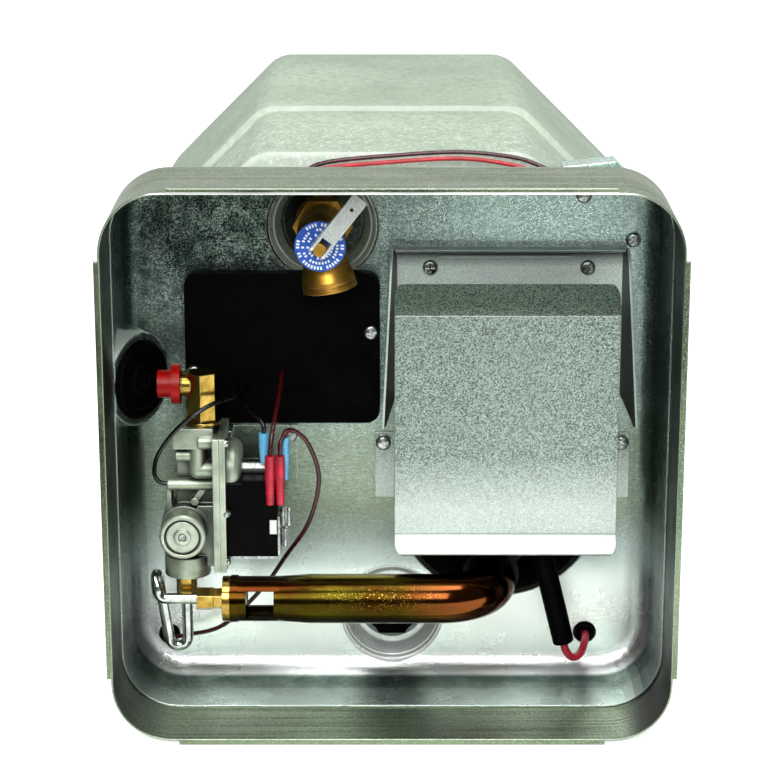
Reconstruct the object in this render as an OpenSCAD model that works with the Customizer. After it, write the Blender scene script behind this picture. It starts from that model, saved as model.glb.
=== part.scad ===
// Gas water heater for a caravan: a square sheet-steel case open at the front, with its controls,
// and an insulated tank behind it. X runs right, Y to the back and Z up, in millimetres.
// The origin lies on the floor, in the middle of the case.

/* [Case] */
// Width and height over the hems
case_w = 322; // [316:1:340]
// Depth over everything
case_d = 487; // [480:1:520]
// Thickness of the case sheet
sheet_t = 1; // [0.8:0.1:1.2]
// How far the turned-out hems stand off the collar
hem_out = 2.4; // [1.5:0.1:4]
// Thickness of a hem
hem_t = 1.6; // [1:0.1:3]
// Length of each hem
hem_l = 242; // [200:1:248]
// Depth of the collar
collar_d = 72; // [60:1:80]
// Corner radius of the collar
collar_r = 34; // [30:1:40]

/* [Control pan] */
// Depth from the front plane to the back wall
pan_d = 98; // [94:1:104]
// Depth at which the pan's skirt begins inside the collar
pan_lip = 46; // [36:1:52]
// Inward taper of the pan, each side
pan_draft = 2.5; // [1.5:0.1:4]
// Inside radius along the back edge
pan_edge_r = 10; // [8:1:12]
// Clearance of the skirt in the collar, each side
pan_fit = 0.1; // [0.1:0.05:0.3]
// Mouth radius of the relief valve's dished port
relief_dish_r = 32.5; // [31:0.5:33]
// Mouth radius of the anode's dished port
anode_dish_r = 30.5; // [29:0.5:30.5]
// Throat radius of the dished ports
dish_throat = 23; // [21:0.5:24]
// Diameter of the holes for the screws
screw_hole = 4.4; // [4.2:0.1:5]

/* [Foam shell] */
// From the back wall to the front of the foam
foam_set = 20; // [19:0.5:26]
// Length of the lower front section
foam_front_l = 140; // [100:1:180]
// How much lower the front section is
foam_step = 3; // [1:0.5:6]
// Length of the sloped rear rim
foam_rim_l = 56; // [40:1:64]
// Fall of the rear rim
foam_rim_fall = 1.5; // [0.5:0.5:4]
// Leg of the long chamfers
foam_chamfer = 79; // [70:1:84]
// Rounding of the foam's long edges
foam_r = 22; // [10:1:30]
// Clearance of the tank in the foam
foam_fit = 0.3; // [0.2:0.1:1]
// How far the foam stops short of the rear plane
foam_short = 3; // [2:0.5:8]

/* [Tank and flue] */
// Thinnest foam round the tank
foam_wall = 15; // [12:0.5:20]
// Tank wall
tank_wall = 2; // [1.5:0.1:3]
// Length of the pipe couplings behind the tank
coupling_l = 29; // [24:1:34]
// Knuckle radius of the rear head
tank_knuckle = 30; // [15:1:40]
// Thickness of the pad between pan and tank
pad_t = 13; // [12:0.5:14]
// Wall of the flue
flue_wall = 1.5; // [1:0.1:2]
// Room between the return chamber and the rear head
flue_clear = 29; // [20:1:40]
// Depth of the return chamber at the rear
flue_turn = 44; // [36:1:46]
// Width of the welding rims on the flue legs
flue_rim = 4; // [3:0.5:5]
// Bore radius of the pipe couplings
coupling_bore = 9.3; // [8:0.1:11]
// Outer diameter of the pipe couplings
coupling_d = 30; // [27:0.5:34]
// Width across flats of the anode plug
anode_af = 27; // [24:0.5:28]
// Diameter of the anode plug's flange
anode_flange = 33; // [31:0.5:36]
// Diameter of the anode
anode_d = 19; // [16:0.5:20]

/* [Relief valve] */
// Bore radius of the relief outlet
relief_bore = 9.3; // [8:0.1:10]
// Outside diameter of the relief outlet
relief_out_d = 26; // [24:0.5:28]
// Lean of the relief outlet to the right
relief_lean = 10; // [0:1:14]
// Stand-off of the tag disc from the back wall
relief_face = 52; // [48:0.5:56]
// Diameter of the tag disc
tag_d = 28.5; // [26:0.5:30]
// Thickness of the tag disc
tag_t = 1; // [0.6:0.1:1.5]
// Diameter of the stem
stem_d = 5.2; // [4.6:0.1:5.6]
// Sliding clearance round the stem
stem_fit = 0.35; // [0.3:0.05:0.6]
// Length of the lever from its pin to its tip
lever_l = 37; // [30:1:42]
// Width of the lever
lever_w = 9.4; // [9:0.1:11]
// Direction of the lever above the horizontal
lever_turn = 52; // [40:1:60]
// Width across flats of the valve's hexagon
relief_af = 30; // [28:0.5:31]
// Radius of the valve's seat flange
relief_seat = 16; // [15:0.5:18]
// Diameter of the lever pin
lever_pin_d = 2.4; // [2:0.1:3]
// Running clearance of the lever on its pin
lever_fit = 0.05; // [0.03:0.01:0.1]

/* [Flue box] */
// Width of the flue box at the wall
box_w = 132; // [126:1:136]
// Forward reach of the flue box at the bottom of its sides
box_reach = 30; // [24:1:36]
// Outward flare of the sides
box_flare = 8; // [5:0.5:9]
// Thickness of flue box and deflector sheet
flue_sheet = 1.2; // [0.8:0.1:1.5]
// Width of the deflector
deflector_w = 127; // [120:1:130]
// Height of the deflector's flat face
deflector_h = 129; // [120:1:134]
// Stand-off of the deflector's face
deflector_s = 53; // [46:1:56]
// Depth and rise of the deflector's upper bend
deflector_lip = 15; // [10:0.5:18]
// Reach and drop of the deflector's lower lip
deflector_kick = 9; // [6:0.5:11]

/* [Gas train] */
// Outer radius of the burner tube
burner_r = 14.3; // [13.5:0.1:14.5]
// Wall of the burner tube
burner_wall = 1; // [0.8:0.1:1.3]
// Radius of the burner's bend
bend_r = 30; // [26:1:34]
// Stand-off of the burner's axis from the back wall
burner_s = 54; // [52:0.5:56]
// Radius of the burner's mixer end
mixer_r = 12.2; // [11.8:0.1:12.4]
// Length and height of the air windows
window = 16; // [12:0.5:17]
// Wall of the air shutter
shutter_wall = 0.8; // [0.6:0.1:1]
// Running clearance of the air shutter
shutter_fit = 0.1; // [0.05:0.05:0.2]
// Diameter of the gas tube
tube_d = 6.4; // [6:0.1:6.6]
// Radius of the regulator cap
cap_r = 13.2; // [12.5:0.1:14]
// Stand-off of the regulator cap's face
cap_s = 63; // [60:0.5:65]
// Width across flats of the brass nuts
nut_af = 12; // [11:0.5:13]
// Width across flats of the inlet elbow
elbow_af = 16; // [15:0.5:17]
// Radius of the gas-line grommet
grommet_r = 23; // [21:0.5:25]
// Radius of the valve's diaphragm dome
dome_r = 18; // [15:0.5:18]
// Diameter of the valve's outlet boss
boss_d = 26.6; // [24:0.2:28]
// Diameter of the valve's upper pipe
upper_pipe = 9.2; // [8:0.2:10]
// Diameter of the valve's small pipe
small_pipe = 7.5; // [6:0.1:8]
// Diameter of the valve's lower pipe
lower_pipe = 7.3; // [6:0.1:8]
// Diameter of the cast passage
passage_d = 11.5; // [10:0.5:12]
// Tilt of the gas pocket towards the front
pocket_tilt = 33; // [28:1:38]

/* [Ignition and wiring] */
// Diameter of the electrode boot
boot_d = 12.5; // [11:0.5:14]
// Diameter of the spark cable
cable_d = 4.6; // [4:0.1:5]
// Diameter of the spark cable's grommet
spark_grommet_d = 14; // [13:0.5:16]
// Diameter of the electrode's insulator
insulator_d = 8; // [7:0.1:9]
// Diameter of the thin wires
wire_d = 2.6; // [2.2:0.1:3]

/* [Thermostat] */
// Room between the black cover and the flue box
cover_gap = 9; // [6:0.5:12]
// Room between the black cover and the pan's left side
cover_inset = 34; // [30:0.5:38]
// Room between the black cover and the middle of the relief valve
cover_drop = 26; // [24:0.5:30]
// Thickness of the black cover
cover_t = 8; // [7:0.5:10]
// Diameter of the thermostat and limit switch
switch_d = 26; // [22:0.5:30]
// Diameter of the reset button
button_d = 7; // [6:0.1:8]
// Clearance of the reset button
button_fit = 0.3; // [0.2:0.05:0.5]

/* [Hidden] */
$fn = 48;
e = 0.01;
front_y = -case_d / 2;
wall_y = front_y + pan_d;
axis_z = case_w / 2;
collar_w = case_w - 2 * hem_out;
skirt_w = collar_w - 2 * sheet_t - 2 * pan_fit;
pan_half = skirt_w / 2 - sheet_t;
back_half = pan_half - pan_draft;
back_corner = collar_r - sheet_t - pan_draft;
tank_r = case_w / 2 - foam_wall;
tank_l = case_d - pan_d - sheet_t - pad_t - coupling_l;
tank_s = -sheet_t - pad_t;
tank_end_s = tank_s - tank_l;
rear_s = pan_d - case_d;
foam_half = case_w / 2;
foam_end_s = rear_s + foam_short;
// Ports right of and above the tank axis, on a grid of 73 steps from the axis to the tank's wall
grid = tank_r / 73;
relief = grid * [-20, 59.5];
anode = grid * [0, -59.5];
leg_low = grid * [31.5, -23];
leg_up = grid * [32.5, 29];
hot_port = grid * [-36, 38];
cold_port = grid * [-36, -38];
leg_low_r = 30.25 * grid;
leg_up_r = 19 * grid;
flue_l = tank_l + pad_t - flue_turn - flue_clear;
relief_shank = 25.6;
anode_shank = 26;
anode_l = tank_l - 112;
// Relief valve
stem_depth = 36;
pin_h = 5.6;
tongue_w = 5.6;
cheek_t = (lever_w - tongue_w) / 2 - 0.35;
cheek_r = 4.8;
lever_t = 1.5;
lever_eye = 2.2;
relief_outlet_s = 33;
relief_drop = 29;
// Flue box and deflector
box_x = leg_up[0] + 3;
box_top = leg_up[1] + 49;
box_foot = leg_low[1] + leg_low_r + 5;
deflector_x = leg_up[0];
deflector_top = leg_up[1] + 21;
flange_w = 11;
lip_r = 6;
arm_h = 40;
arm_top = leg_up[1] - 63;
box_screws = [[box_x - 46, box_top - 12], [box_x + 45, box_top - 12]];
arm_screws = [for (m = [-1, 1]) [deflector_x + m * (deflector_w / 2 + flange_w / 2 + 1), arm_top - 6]];
wall_screws = [[back_half - 44, back_half - 17], [back_half - 15, back_half - 43]];
screw_d = 3.8;
head_d = 9;
// Burner
burner_z = leg_low[1] - 43;
mouth_x = leg_low[0] - 4.5;
turn_x = mouth_x - bend_r;
burner_in = 70;
// Gas valve: its places count from the middle of the regulator
gas = [-(pan_half - 37), burner_z + 40.3];
valve_s = 40;
reg_s = 48;
boss_low = gas[1] - 29;
boss_h = 12;
flange_x = gas[0] + 21;
flange_t = 3.6;
flange_s = [14, 57];
flange_z = [gas[1] - 23.3, gas[1] + 56.5];
top_block_z = gas[1] + 60.7;
elbow_x = gas[0] + 10.5;
elbow_s = 36;
elbow_h = 28;
elbow_base = top_block_z + 2;
nipple_z = elbow_base + elbow_h - 7;
nipple_d = 13;
nipple_l = 13.6;
stem_z = gas[1] + 32.5;
stem_s = 34;
stem_end = 14;
dome_l = 8.6;
coil = [gas[0] + 54, gas[1] - 15.3, gas[1] + 30.7];
coil_s = [16, 52];
sleeve_d = 5.6;
bracket_t = 1.5;
bracket_screw = [gas[0] + 59.5, gas[1] + 42.7];
// Feed of the burner
mixer_x = gas[0] + 21.9;
mixer_l = 33;
flare_l = 18;
window_x = mixer_x + 21.7;
disc_l = 4.4;
spud_d = 8;
nut_x = mixer_x - 15;
nut_l = 9.6;
tube_x = gas[0];
fitting_l = 15;
loop_r = 5.5;
loop_low = burner_z - 29;
loop_top = burner_z + 5;
loop_lean = 8;
run_r = 5;
// Gas pocket in the left wall
pocket_in = 12.5;
pocket = [-(pan_half - pocket_in), 33, nipple_z + 1.7];
pocket_r = grommet_r + 4;
pocket_hole = 14;
gas_bore = 5;
// Thermostat corner
cover_right = box_x - box_w / 2 - cover_gap;
cover_low = gas[1] + 51.7;
cover_w = cover_right + back_half - cover_inset;
cover_h = relief[1] - cover_drop - cover_low;
cover = [cover_right - cover_w / 2, cover_low + cover_h / 2];
cover_r = 8;
cover_rim = 8;
hollow = 4;
cover_screws = [cover + [cover_w / 2 - 5, 10], cover + [5 - cover_w / 2, -14]];
button = cover + [19.5, 0];
thermo = cover + [-24.5, 0];
switch_l = 10;
red_hole = cover + [-0.5, -14];
black_hole = cover + [-26.5, -22];
// Ignition
wire_hole = [20 - back_half, 22 - back_half];
wire_grommet_d = 13;
spark_hole = [back_half - 38, 23 - back_half];
boot_top = [leg_low[0] + 23, 36, leg_low[1] - 16];
boot_low = [spark_hole[0] - 15, 32, spark_hole[1] + 7];
insulator_l = 62;
bracket_s = 12;
board = [back_half - 56, back_half - 42, 38, 44];
board_s = [-foam_set, -3];
// Routes of the wires: right of the axis, forward of the back wall, above the axis
function from(q, route) = [for (p = route) p + [q[0], 0, q[1]]];
spark_route = concat([boot_low + [-1.4, 0.4, 6], boot_low, boot_low + [2, -1, -7]],
  from(spark_hole, [[-9, 28, -5], [-4, 22, -5], [-1, 14, -1], [0, 6, 0], [0, -8, 0]]));
loop_route = concat(from(gas, [[55.9, 56, 47.2], [56.6, 55, 55], [62, 50, 60.2], [71.5, 45, 50.7],
  [77.5, 42, 28.7], [71.5, 36, 0.7], [57.5, 28, -23.3], [43.5, 22, -45.3]]),
  from(wire_hole, [[34, 16, 12], [12, 12, 4], [1, 6, 0.4], [0, 0, 0], [0, -10, 0]]));
thermo_route = concat(from(red_hole, [[0, 2, 0], [0, 13, -1]]),
  from(gas, [[54.5, 30, 74], [52, 50, 62], [50, 56, 47.2]]));
limit_route = concat(from(black_hole, [[0, 2, 0], [1, 14, -1]]),
  from(gas, [[35.5, 30, 69.2], [43, 44, 66], [46.5, 48, 62], [46.5, 48, 58.2]]));
ground_route = concat(from(black_hole + [6, 0], [[0, 2, 0], [0, 16, 0]]),
  from(gas, [[29.5, 38, 76.7], [15.5, 55, 75.7], [-0.5, 58, 64.7], [-12.5, 55, 48.7], [-16.5, 47, 34.7],
    [-14.4, 44, 27.7], [-9.7, 43.6, 26.2]]));
red_route = concat(from([0, back_half], [[-62, -16.4, -19], [-52, -16, -8], [-38, -16, -1], [0, -16, 3],
  [40, -16, 5]]), from([board[0], back_half], [[-26, -14, 2], [-8, -11, -4], [-0.2, -11, -5]]));
black_route = concat(from([0, back_half], [[-66, -12.6, -21], [-56, -12, -11], [-40, -12, -4], [0, -12, 0],
  [40, -12, 2]]), from([board[0], back_half], [[-26, -10, -2], [-8, -7, -9], [-0.2, -7, -10]]));

// Centre line of the gas tube: down from the valve, a tight turn to the left, up with a lean, over towards
// the front, down again and across to the burner's nut
function gas_path() = let (
    c = cos(loop_lean),
    n = sin(loop_lean),
    bow = (burner_s - valve_s) / 2,
    low = arc([tube_x - loop_r, loop_low], loop_r, 0, loop_lean - 180, 10),
    foot = low[10],
    rise = (loop_top - foot[1]) / c,
    top_x = foot[0] - rise * n,
    fall = (loop_top - burner_z - run_r + run_r * n) / c,
    out = [top_x + fall * n + run_r * c, burner_z + run_r])
  concat([[tube_x, valve_s, boss_low - 2]], [for (q = low) [q[0], valve_s, q[1]]],
    [for (q = arc([valve_s + bow, 0], bow, 180, 0, 10)) [top_x - q[1] * n, q[0], loop_top + q[1] * c]],
    [for (q = arc(out, run_r, 180 + loop_lean, 270, 5)) [q[0], burner_s, q[1]]],
    [[nut_x + nut_l - 1, burner_s, burner_z]]);

// Places a shape by its distance right of the tank axis, its stand-off from the back wall and its height
// above the tank axis
module at(x, s, z) {
  translate([x, wall_y - s, axis_z + z]) children();
}

// A flat shape in the upright plane, thickened towards the front
module plate(l) {
  rotate([90, 0, 0]) linear_extrude(l) children();
}

// A profile of radius and stand-off, turned about a front-to-back axis
module turned() {
  rotate([90, 0, 0]) rotate_extrude() children();
}

// A rod that runs towards the front
module fore(d, l) {
  rotate([90, 0, 0]) cylinder(d = d, h = l);
}

// A rod that runs to the right
module across(d, l) {
  rotate([0, 90, 0]) cylinder(d = d, h = l);
}

// A hexagon across flats that runs to the right
module across_hex(af, l) {
  rotate([0, 90, 0]) cylinder(d = af / cos(30), h = l, $fn = 6);
}

module round_square(w, h, r) {
  square([w - 2 * r, h], center = true);
  square([w, h - 2 * r], center = true);
  for (x = [-1, 1], y = [-1, 1]) translate([x * (w / 2 - r), y * (h / 2 - r)]) circle(r);
}

function arc(c, r, a, b, n) = [for (i = [0:n]) c + r * [cos(a + (b - a) * i / n), sin(a + (b - a) * i / n)]];

// Point where two faces cross, each given by the angle and distance of its normal
function cross_at(a, da, b, db) = [da * sin(b) - db * sin(a), db * cos(a) - da * cos(b)] / sin(b - a);

// Octagon with rounded corners: flats at h, 45-degree faces with legs c
function octagon(h, c, r) = [for (k = [0:7])
  let (even = k % 2 == 0, slope = (2 * h - c) / sqrt(2))
  each arc(cross_at(45 * k, (even ? h : slope) - r, 45 * k + 45, (even ? slope : h) - r), r,
    45 * k, 45 * k + 45, 4)];

function spline(a, b, c, d, t) = 0.5 * (2 * b + (c - a) * t + (2 * a - 5 * b + 4 * c - d) * t ^ 2
  + (3 * b - a - 3 * c + d) * t ^ 3);
function smooth(p, n) = [for (i = [0:len(p) - 2]) for (j = [0:n - 1])
  spline(p[max(i - 1, 0)], p[i], p[i + 1], p[min(i + 2, len(p) - 1)], j / n), p[len(p) - 1]];
function unit(v) = v / norm(v);

// A round rod along points given right of the axis, forward of the back wall and above the axis
module sweep(route, d, sides) {
  p = [for (q = route) [q[0], wall_y - q[1], axis_z + q[2]]];
  last = len(p) - 1;
  rings = [for (i = [0:last])
    let (t = unit(p[min(i + 1, last)] - p[max(i - 1, 0)]),
      u = unit(cross(t, [0.36, 0.48, 0.8])),
      v = cross(t, u))
    for (k = [0:sides - 1]) p[i] + d / 2 * (u * cos(k * 360 / sides) + v * sin(k * 360 / sides))];
  walls = [for (i = [0:last - 1]) for (k = [0:sides - 1])
    let (a = i * sides + k, b = i * sides + (k + 1) % sides)
    each [[a, a + sides, b + sides], [a, b + sides, b]]];
  caps = [for (k = [1:sides - 2])
    each [[0, k, k + 1], [last * sides, last * sides + k + 1, last * sides + k]]];
  polyhedron(rings, concat(walls, caps));
}

// A wire along a smoothed route, n rings to each stretch
module wire(route, d, n) {
  sweep(smooth(route, n), d, 8);
}

// Case

module pan_collar() {
  color("#8f968c") difference() {
    union() {
      translate([0, front_y + collar_d, axis_z]) plate(collar_d) round_square(collar_w, collar_w, collar_r);
      for (a = [0:90:270])
        translate([0, front_y, axis_z]) rotate([0, a, 0])
          translate([-hem_l / 2, 0, collar_w / 2 - sheet_t / 2]) cube([hem_l, hem_t, hem_out + sheet_t / 2]);
    }
    translate([0, front_y + collar_d + 1, axis_z]) plate(collar_d + 2)
      round_square(collar_w - 2 * sheet_t, collar_w - 2 * sheet_t, collar_r - sheet_t);
  }
}

// Drawn form of the pan, grown by g, from the depth l to the back wall
module pan_form(g, l) {
  hull() {
    translate([0, front_y + collar_d, axis_z]) plate(collar_d - l)
      round_square(2 * (pan_half + g), 2 * (pan_half + g), collar_r - 2 * sheet_t + g, $fn = 32);
    for (x = [-1, 1], z = [-1, 1])
      at(x * (back_half - back_corner), pan_edge_r, z * (back_half - back_corner))
        rotate([90, 0, 0]) rotate_extrude($fn = 32)
          translate([back_corner - pan_edge_r, 0]) circle(pan_edge_r + g, $fn = 32);
  }
}

// Dished port that reaches back to the tank
module dish(r, g) {
  turned() polygon([[0, 24], [r + g, 24], [r + g, 0], [dish_throat + 5 + g, -5],
    [dish_throat + g, -pad_t - g], [0, -pad_t - g]]);
}

// Frame of the slanted gas pocket: its face is at zero and the compartment lies above it
module on_pocket() {
  at(pocket[0], pocket[1], pocket[2]) rotate([0, 0, -pocket_tilt]) rotate([0, 90, 0]) children();
}

module front_pan() {
  color("#a6aca6") difference() {
    union() {
      pan_form(sheet_t, pan_lip);
      at(relief[0], 0, relief[1]) dish(relief_dish_r, sheet_t);
      at(anode[0], 0, anode[1]) dish(anode_dish_r, sheet_t);
    }
    difference() {
      pan_form(0, pan_lip - 2);
      on_pocket() translate([0, 0, -40]) cylinder(r1 = pocket_r + 8, r2 = pocket_r, h = 40);
    }
    on_pocket() translate([0, 0, -40 - sheet_t]) cylinder(r1 = pocket_r + 7, r2 = pocket_r - 1, h = 40);
    on_pocket() translate([0, 0, -5]) cylinder(r = pocket_hole, h = 10);
    at(relief[0], 0, relief[1]) {
      dish(relief_dish_r, 0);
      translate([0, pad_t + 5, 0]) fore(relief_shank + 1, 10);
    }
    at(anode[0], 0, anode[1]) {
      dish(anode_dish_r, 0);
      translate([0, pad_t + 5, 0]) fore(anode_shank + 1, 10);
    }
    at(leg_low[0], -5, leg_low[1]) fore(2 * leg_low_r + 2, 10);
    at(leg_up[0], -5, leg_up[1]) fore(2 * leg_up_r + 2, 10);
    at(cover[0], -5, cover[1]) plate(10)
      round_square(cover_w - 2 * cover_rim - 4, cover_h - 2 * cover_rim - 4, cover_r);
    at(wire_hole[0], -5, wire_hole[1]) fore(wire_grommet_d - 4, 10);
    at(spark_hole[0], -5, spark_hole[1]) fore(spark_grommet_d - 4, 10);
    for (q = concat(wall_screws, cover_screws, box_screws, arm_screws, [bracket_screw]))
      at(q[0], -5, q[1]) fore(screw_hole, 10);
  }
}

// Pan-head screw: seat at zero, shank of length l into the wall
module screw(l) {
  turned() polygon([[0, 3], [head_d / 4, 3], [head_d / 2 - 0.4, 1.6], [head_d / 2, 0], [screw_d / 2, 0],
    [screw_d / 2, -l + 0.6], [screw_d / 2 - 0.6, -l], [0, -l]]);
}

module pan_screws() {
  color("#c9ccc8") {
    for (q = wall_screws) at(q[0], 0, q[1]) screw(sheet_t + 1);
    for (q = cover_screws) at(q[0], cover_t, q[1]) screw(cover_t + sheet_t + 1);
    at(bracket_screw[0], bracket_t, bracket_screw[1]) screw(bracket_t + sheet_t + 3);
  }
}

module foam_whole() {
  difference() {
    union() {
      at(0, -foam_set - foam_front_l, 0) plate(foam_front_l)
        polygon(octagon(foam_half - foam_step, foam_chamfer, foam_r));
      at(0, foam_end_s + foam_rim_l, 0) plate(-foam_set - foam_front_l - foam_end_s - foam_rim_l)
        polygon(octagon(foam_half, foam_chamfer, foam_r));
      at(0, foam_end_s, 0) rotate([90, 0, 0])
        linear_extrude(foam_rim_l, scale = foam_half / (foam_half - foam_rim_fall))
          polygon(octagon(foam_half - foam_rim_fall, foam_chamfer, foam_r));
    }
    tank_form(foam_fit);
    for (q = [hot_port, cold_port])
      at(q[0], rear_s - 1, q[1]) fore(coupling_d + 2 * foam_fit, coupling_l + 4);
  }
}

module foam_upper() {
  color("#c3cbb6") difference() {
    foam_whole();
    translate([-case_w, -case_d, -e]) cube([2 * case_w, 2 * case_d, axis_z + 2 * e]);
  }
}

module foam_lower() {
  color("#c3cbb6") difference() {
    foam_whole();
    translate([-case_w, -case_d, axis_z - e]) cube([2 * case_w, 2 * case_d, case_w]);
  }
}

module front_insulation() {
  color("#f0f0ea") difference() {
    at(0, tank_s, 0) fore(2 * tank_r, pad_t);
    at(relief[0], tank_s - 1, relief[1]) fore(2 * relief_dish_r + 3, pad_t + 2);
    at(anode[0], tank_s - 1, anode[1]) fore(2 * anode_dish_r + 3, pad_t + 2);
    at(leg_low[0], tank_s - 1, leg_low[1]) fore(2 * (leg_low_r + flue_rim) + 1, pad_t + 2);
    at(leg_up[0], tank_s - 1, leg_up[1]) fore(2 * (leg_up_r + flue_rim) + 1, pad_t + 2);
    at(cover[0], tank_s - 1, cover[1]) plate(pad_t + 2)
      round_square(cover_w - 2 * cover_rim - 4, cover_h - 2 * cover_rim - 4, cover_r);
    for (q = concat(wall_screws, cover_screws, box_screws, arm_screws, [bracket_screw]))
      at(q[0], tank_s - 1, q[1]) fore(screw_hole, pad_t + 2);
  }
}

// Tank and flue

// Outer form of the tank, grown by g
module tank_form(g) {
  front = tank_s + (g > 0 ? 10 : 0);
  at(0, 0, 0) turned() polygon(concat([[0, front], [tank_r + g, front]],
    arc([tank_r + g - tank_knuckle, tank_end_s - g + tank_knuckle], tank_knuckle, 0, -90, 6),
    [[0, tank_end_s - g]]));
}

module tank_shell() {
  color("#d8d6cf") difference() {
    tank_form(0);
    at(0, 0, 0) turned() polygon(concat([[0, tank_s - tank_wall], [tank_r - tank_wall, tank_s - tank_wall]],
      arc([tank_r - tank_knuckle, tank_end_s + tank_knuckle], tank_knuckle - tank_wall, 0, -90, 6),
      [[0, tank_end_s + tank_wall]]));
    at(relief[0], tank_s - 5, relief[1]) fore(relief_shank + 0.4, 10);
    at(anode[0], tank_s - 5, anode[1]) fore(anode_shank + 0.4, 10);
    at(leg_low[0], tank_s - 5, leg_low[1]) fore(2 * leg_low_r, 10);
    at(leg_up[0], tank_s - 5, leg_up[1]) fore(2 * leg_up_r, 10);
    for (q = [hot_port, cold_port]) at(q[0], tank_end_s - 5, q[1]) fore(2 * coupling_bore, 12);
  }
}

// Return chamber outline, drawn in by g
module turn_outline(g) {
  translate(leg_low) circle(leg_low_r - g);
  translate(leg_up) circle(leg_up_r - g);
  translate([leg_up[0] - leg_up_r + g, leg_low[1]]) square([2 * (leg_up_r - g), leg_up[1] - leg_low[1]]);
}

// Straight leg of the flue with its welding rim
module flue_leg(q, r) {
  at(q[0], -sheet_t - flue_l, q[1]) difference() {
    union() {
      fore(2 * r, flue_l);
      translate([0, -flue_l + flue_wall, 0]) fore(2 * (r + flue_rim), flue_wall);
    }
    translate([0, 1, 0]) fore(2 * (r - flue_wall), flue_l + 2);
  }
}

module flue_burner_leg() {
  color("#6b6a66") flue_leg(leg_low, leg_low_r);
}

module flue_exhaust_leg() {
  color("#6b6a66") difference() {
    flue_leg(leg_up, leg_up_r);
    at(leg_low[0], -5, leg_low[1]) fore(2 * (leg_low_r + flue_rim) + 0.2, 10);
  }
}

// Welded chamber that turns the gases from one leg to the other
module flue_return() {
  back = -sheet_t - flue_l - flue_turn;
  color("#6b6a66") difference() {
    at(0, back, 0) plate(flue_turn) turn_outline(0);
    at(0, back + flue_wall, 0) plate(flue_turn - 2 * flue_wall) turn_outline(flue_wall);
    at(leg_low[0], back + flue_turn - 5, leg_low[1]) fore(2 * (leg_low_r - flue_wall), 10);
    at(leg_up[0], back + flue_turn - 5, leg_up[1]) fore(2 * (leg_up_r - flue_wall), 10);
  }
}

// Pipe coupling from the rear head out to the rear plane
module coupling(q) {
  at(q[0], rear_s, q[1]) difference() {
    fore(coupling_d, coupling_l);
    translate([0, 1, 0]) fore(2 * coupling_bore, coupling_l + 2);
  }
}

module hot_outlet_coupling() {
  color("#b9a06a") coupling(hot_port);
}

module cold_inlet_coupling() {
  color("#b9a06a") coupling(cold_port);
}

module anode_rod() {
  color("#2b2b2b") at(anode[0], 0, anode[1]) {
    translate([0, pad_t, 0]) rotate([90, 0, 0]) cylinder(d = anode_af / cos(30), h = 11, $fn = 6);
    translate([0, pad_t, 0]) fore(anode_flange, 3);
    translate([0, -tank_s + 14, 0]) fore(anode_shank, 15);
    translate([0, -tank_s + anode_l, 0]) fore(anode_d, anode_l - 13);
    translate([0, pad_t - 10, 0]) fore(9, 4);
  }
}

// Relief valve

// Places a shape on the valve's axis, s forward of the back wall
module on_relief(s) {
  at(relief[0], s, relief[1]) children();
}

// Frame of the outlet: its open end is at zero and the valve's axis lies above it
module on_outlet() {
  on_relief(relief_outlet_s) rotate([0, -relief_lean, 0]) translate([0, 0, -relief_drop]) children();
}

module relief_valve_body() {
  color("#a97c33") difference() {
    union() {
      on_relief(0) turned() polygon([[0, tank_s - 12], [relief_shank / 2, tank_s - 12],
        [relief_shank / 2, -pad_t], [relief_seat, -pad_t], [relief_seat, -9], [13.8, -8],
        [13.8, relief_face - 22], [12, relief_face - 17], [12, relief_face - 3],
        [11, relief_face], [0, relief_face]]);
      on_relief(-10) rotate([90, 0, 0]) cylinder(d = relief_af / cos(30), h = 13, $fn = 6);
      on_outlet() rotate_extrude() polygon([[0, 0], [relief_out_d / 2 + 2.6, 0], [relief_out_d / 2 + 2.4, 2.4],
        [relief_out_d / 2 + 1.4, 3], [relief_out_d / 2 + 1.4, 3.8], [relief_out_d / 2 + 2.2, 4.4],
        [relief_out_d / 2 + 2, 6], [relief_out_d / 2 + 0.6, 11], [relief_out_d / 2, 15],
        [relief_out_d / 2, relief_drop - 2], [0, relief_drop - 2]]);
    }
    on_outlet() translate([0, 0, -1]) cylinder(r = relief_bore, h = 20);
    on_relief(relief_face - stem_depth - 1) fore(stem_d + 2 * stem_fit, stem_depth + 5);
  }
}

module relief_tag_disc() {
  color("#3f78bd") on_relief(relief_face) difference() {
    fore(tag_d, tag_t);
    translate([0, 1, 0]) fore(stem_d + 2 * stem_fit, tag_t + 2);
  }
}

// Frame of the lever: x along the lever, y along its pin, z forward of the tag disc
module on_lever() {
  on_relief(relief_face + tag_t) rotate([90, 0, 0]) rotate([0, 0, lever_turn]) children();
}

module relief_stem() {
  color("#b58a45") on_lever() difference() {
    union() {
      translate([0, 0, -stem_depth - tag_t + 0.6]) cylinder(d = stem_d, h = stem_depth + tag_t + 0.4);
      intersection() {
        translate([0, 0, 0.8]) cylinder(d = 7.4, h = pin_h + 3.4);
        translate([-5, -tongue_w / 2, 0]) cube([10, tongue_w, 20]);
      }
    }
    translate([0, 10, pin_h]) rotate([90, 0, 0]) cylinder(d = lever_pin_d, h = 20);
  }
}

module lever_pin() {
  color("#8a8a86") on_lever() translate([0, lever_w / 2 + 0.4, pin_h]) rotate([90, 0, 0])
    cylinder(d = lever_pin_d, h = lever_w + 0.8);
}

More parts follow.
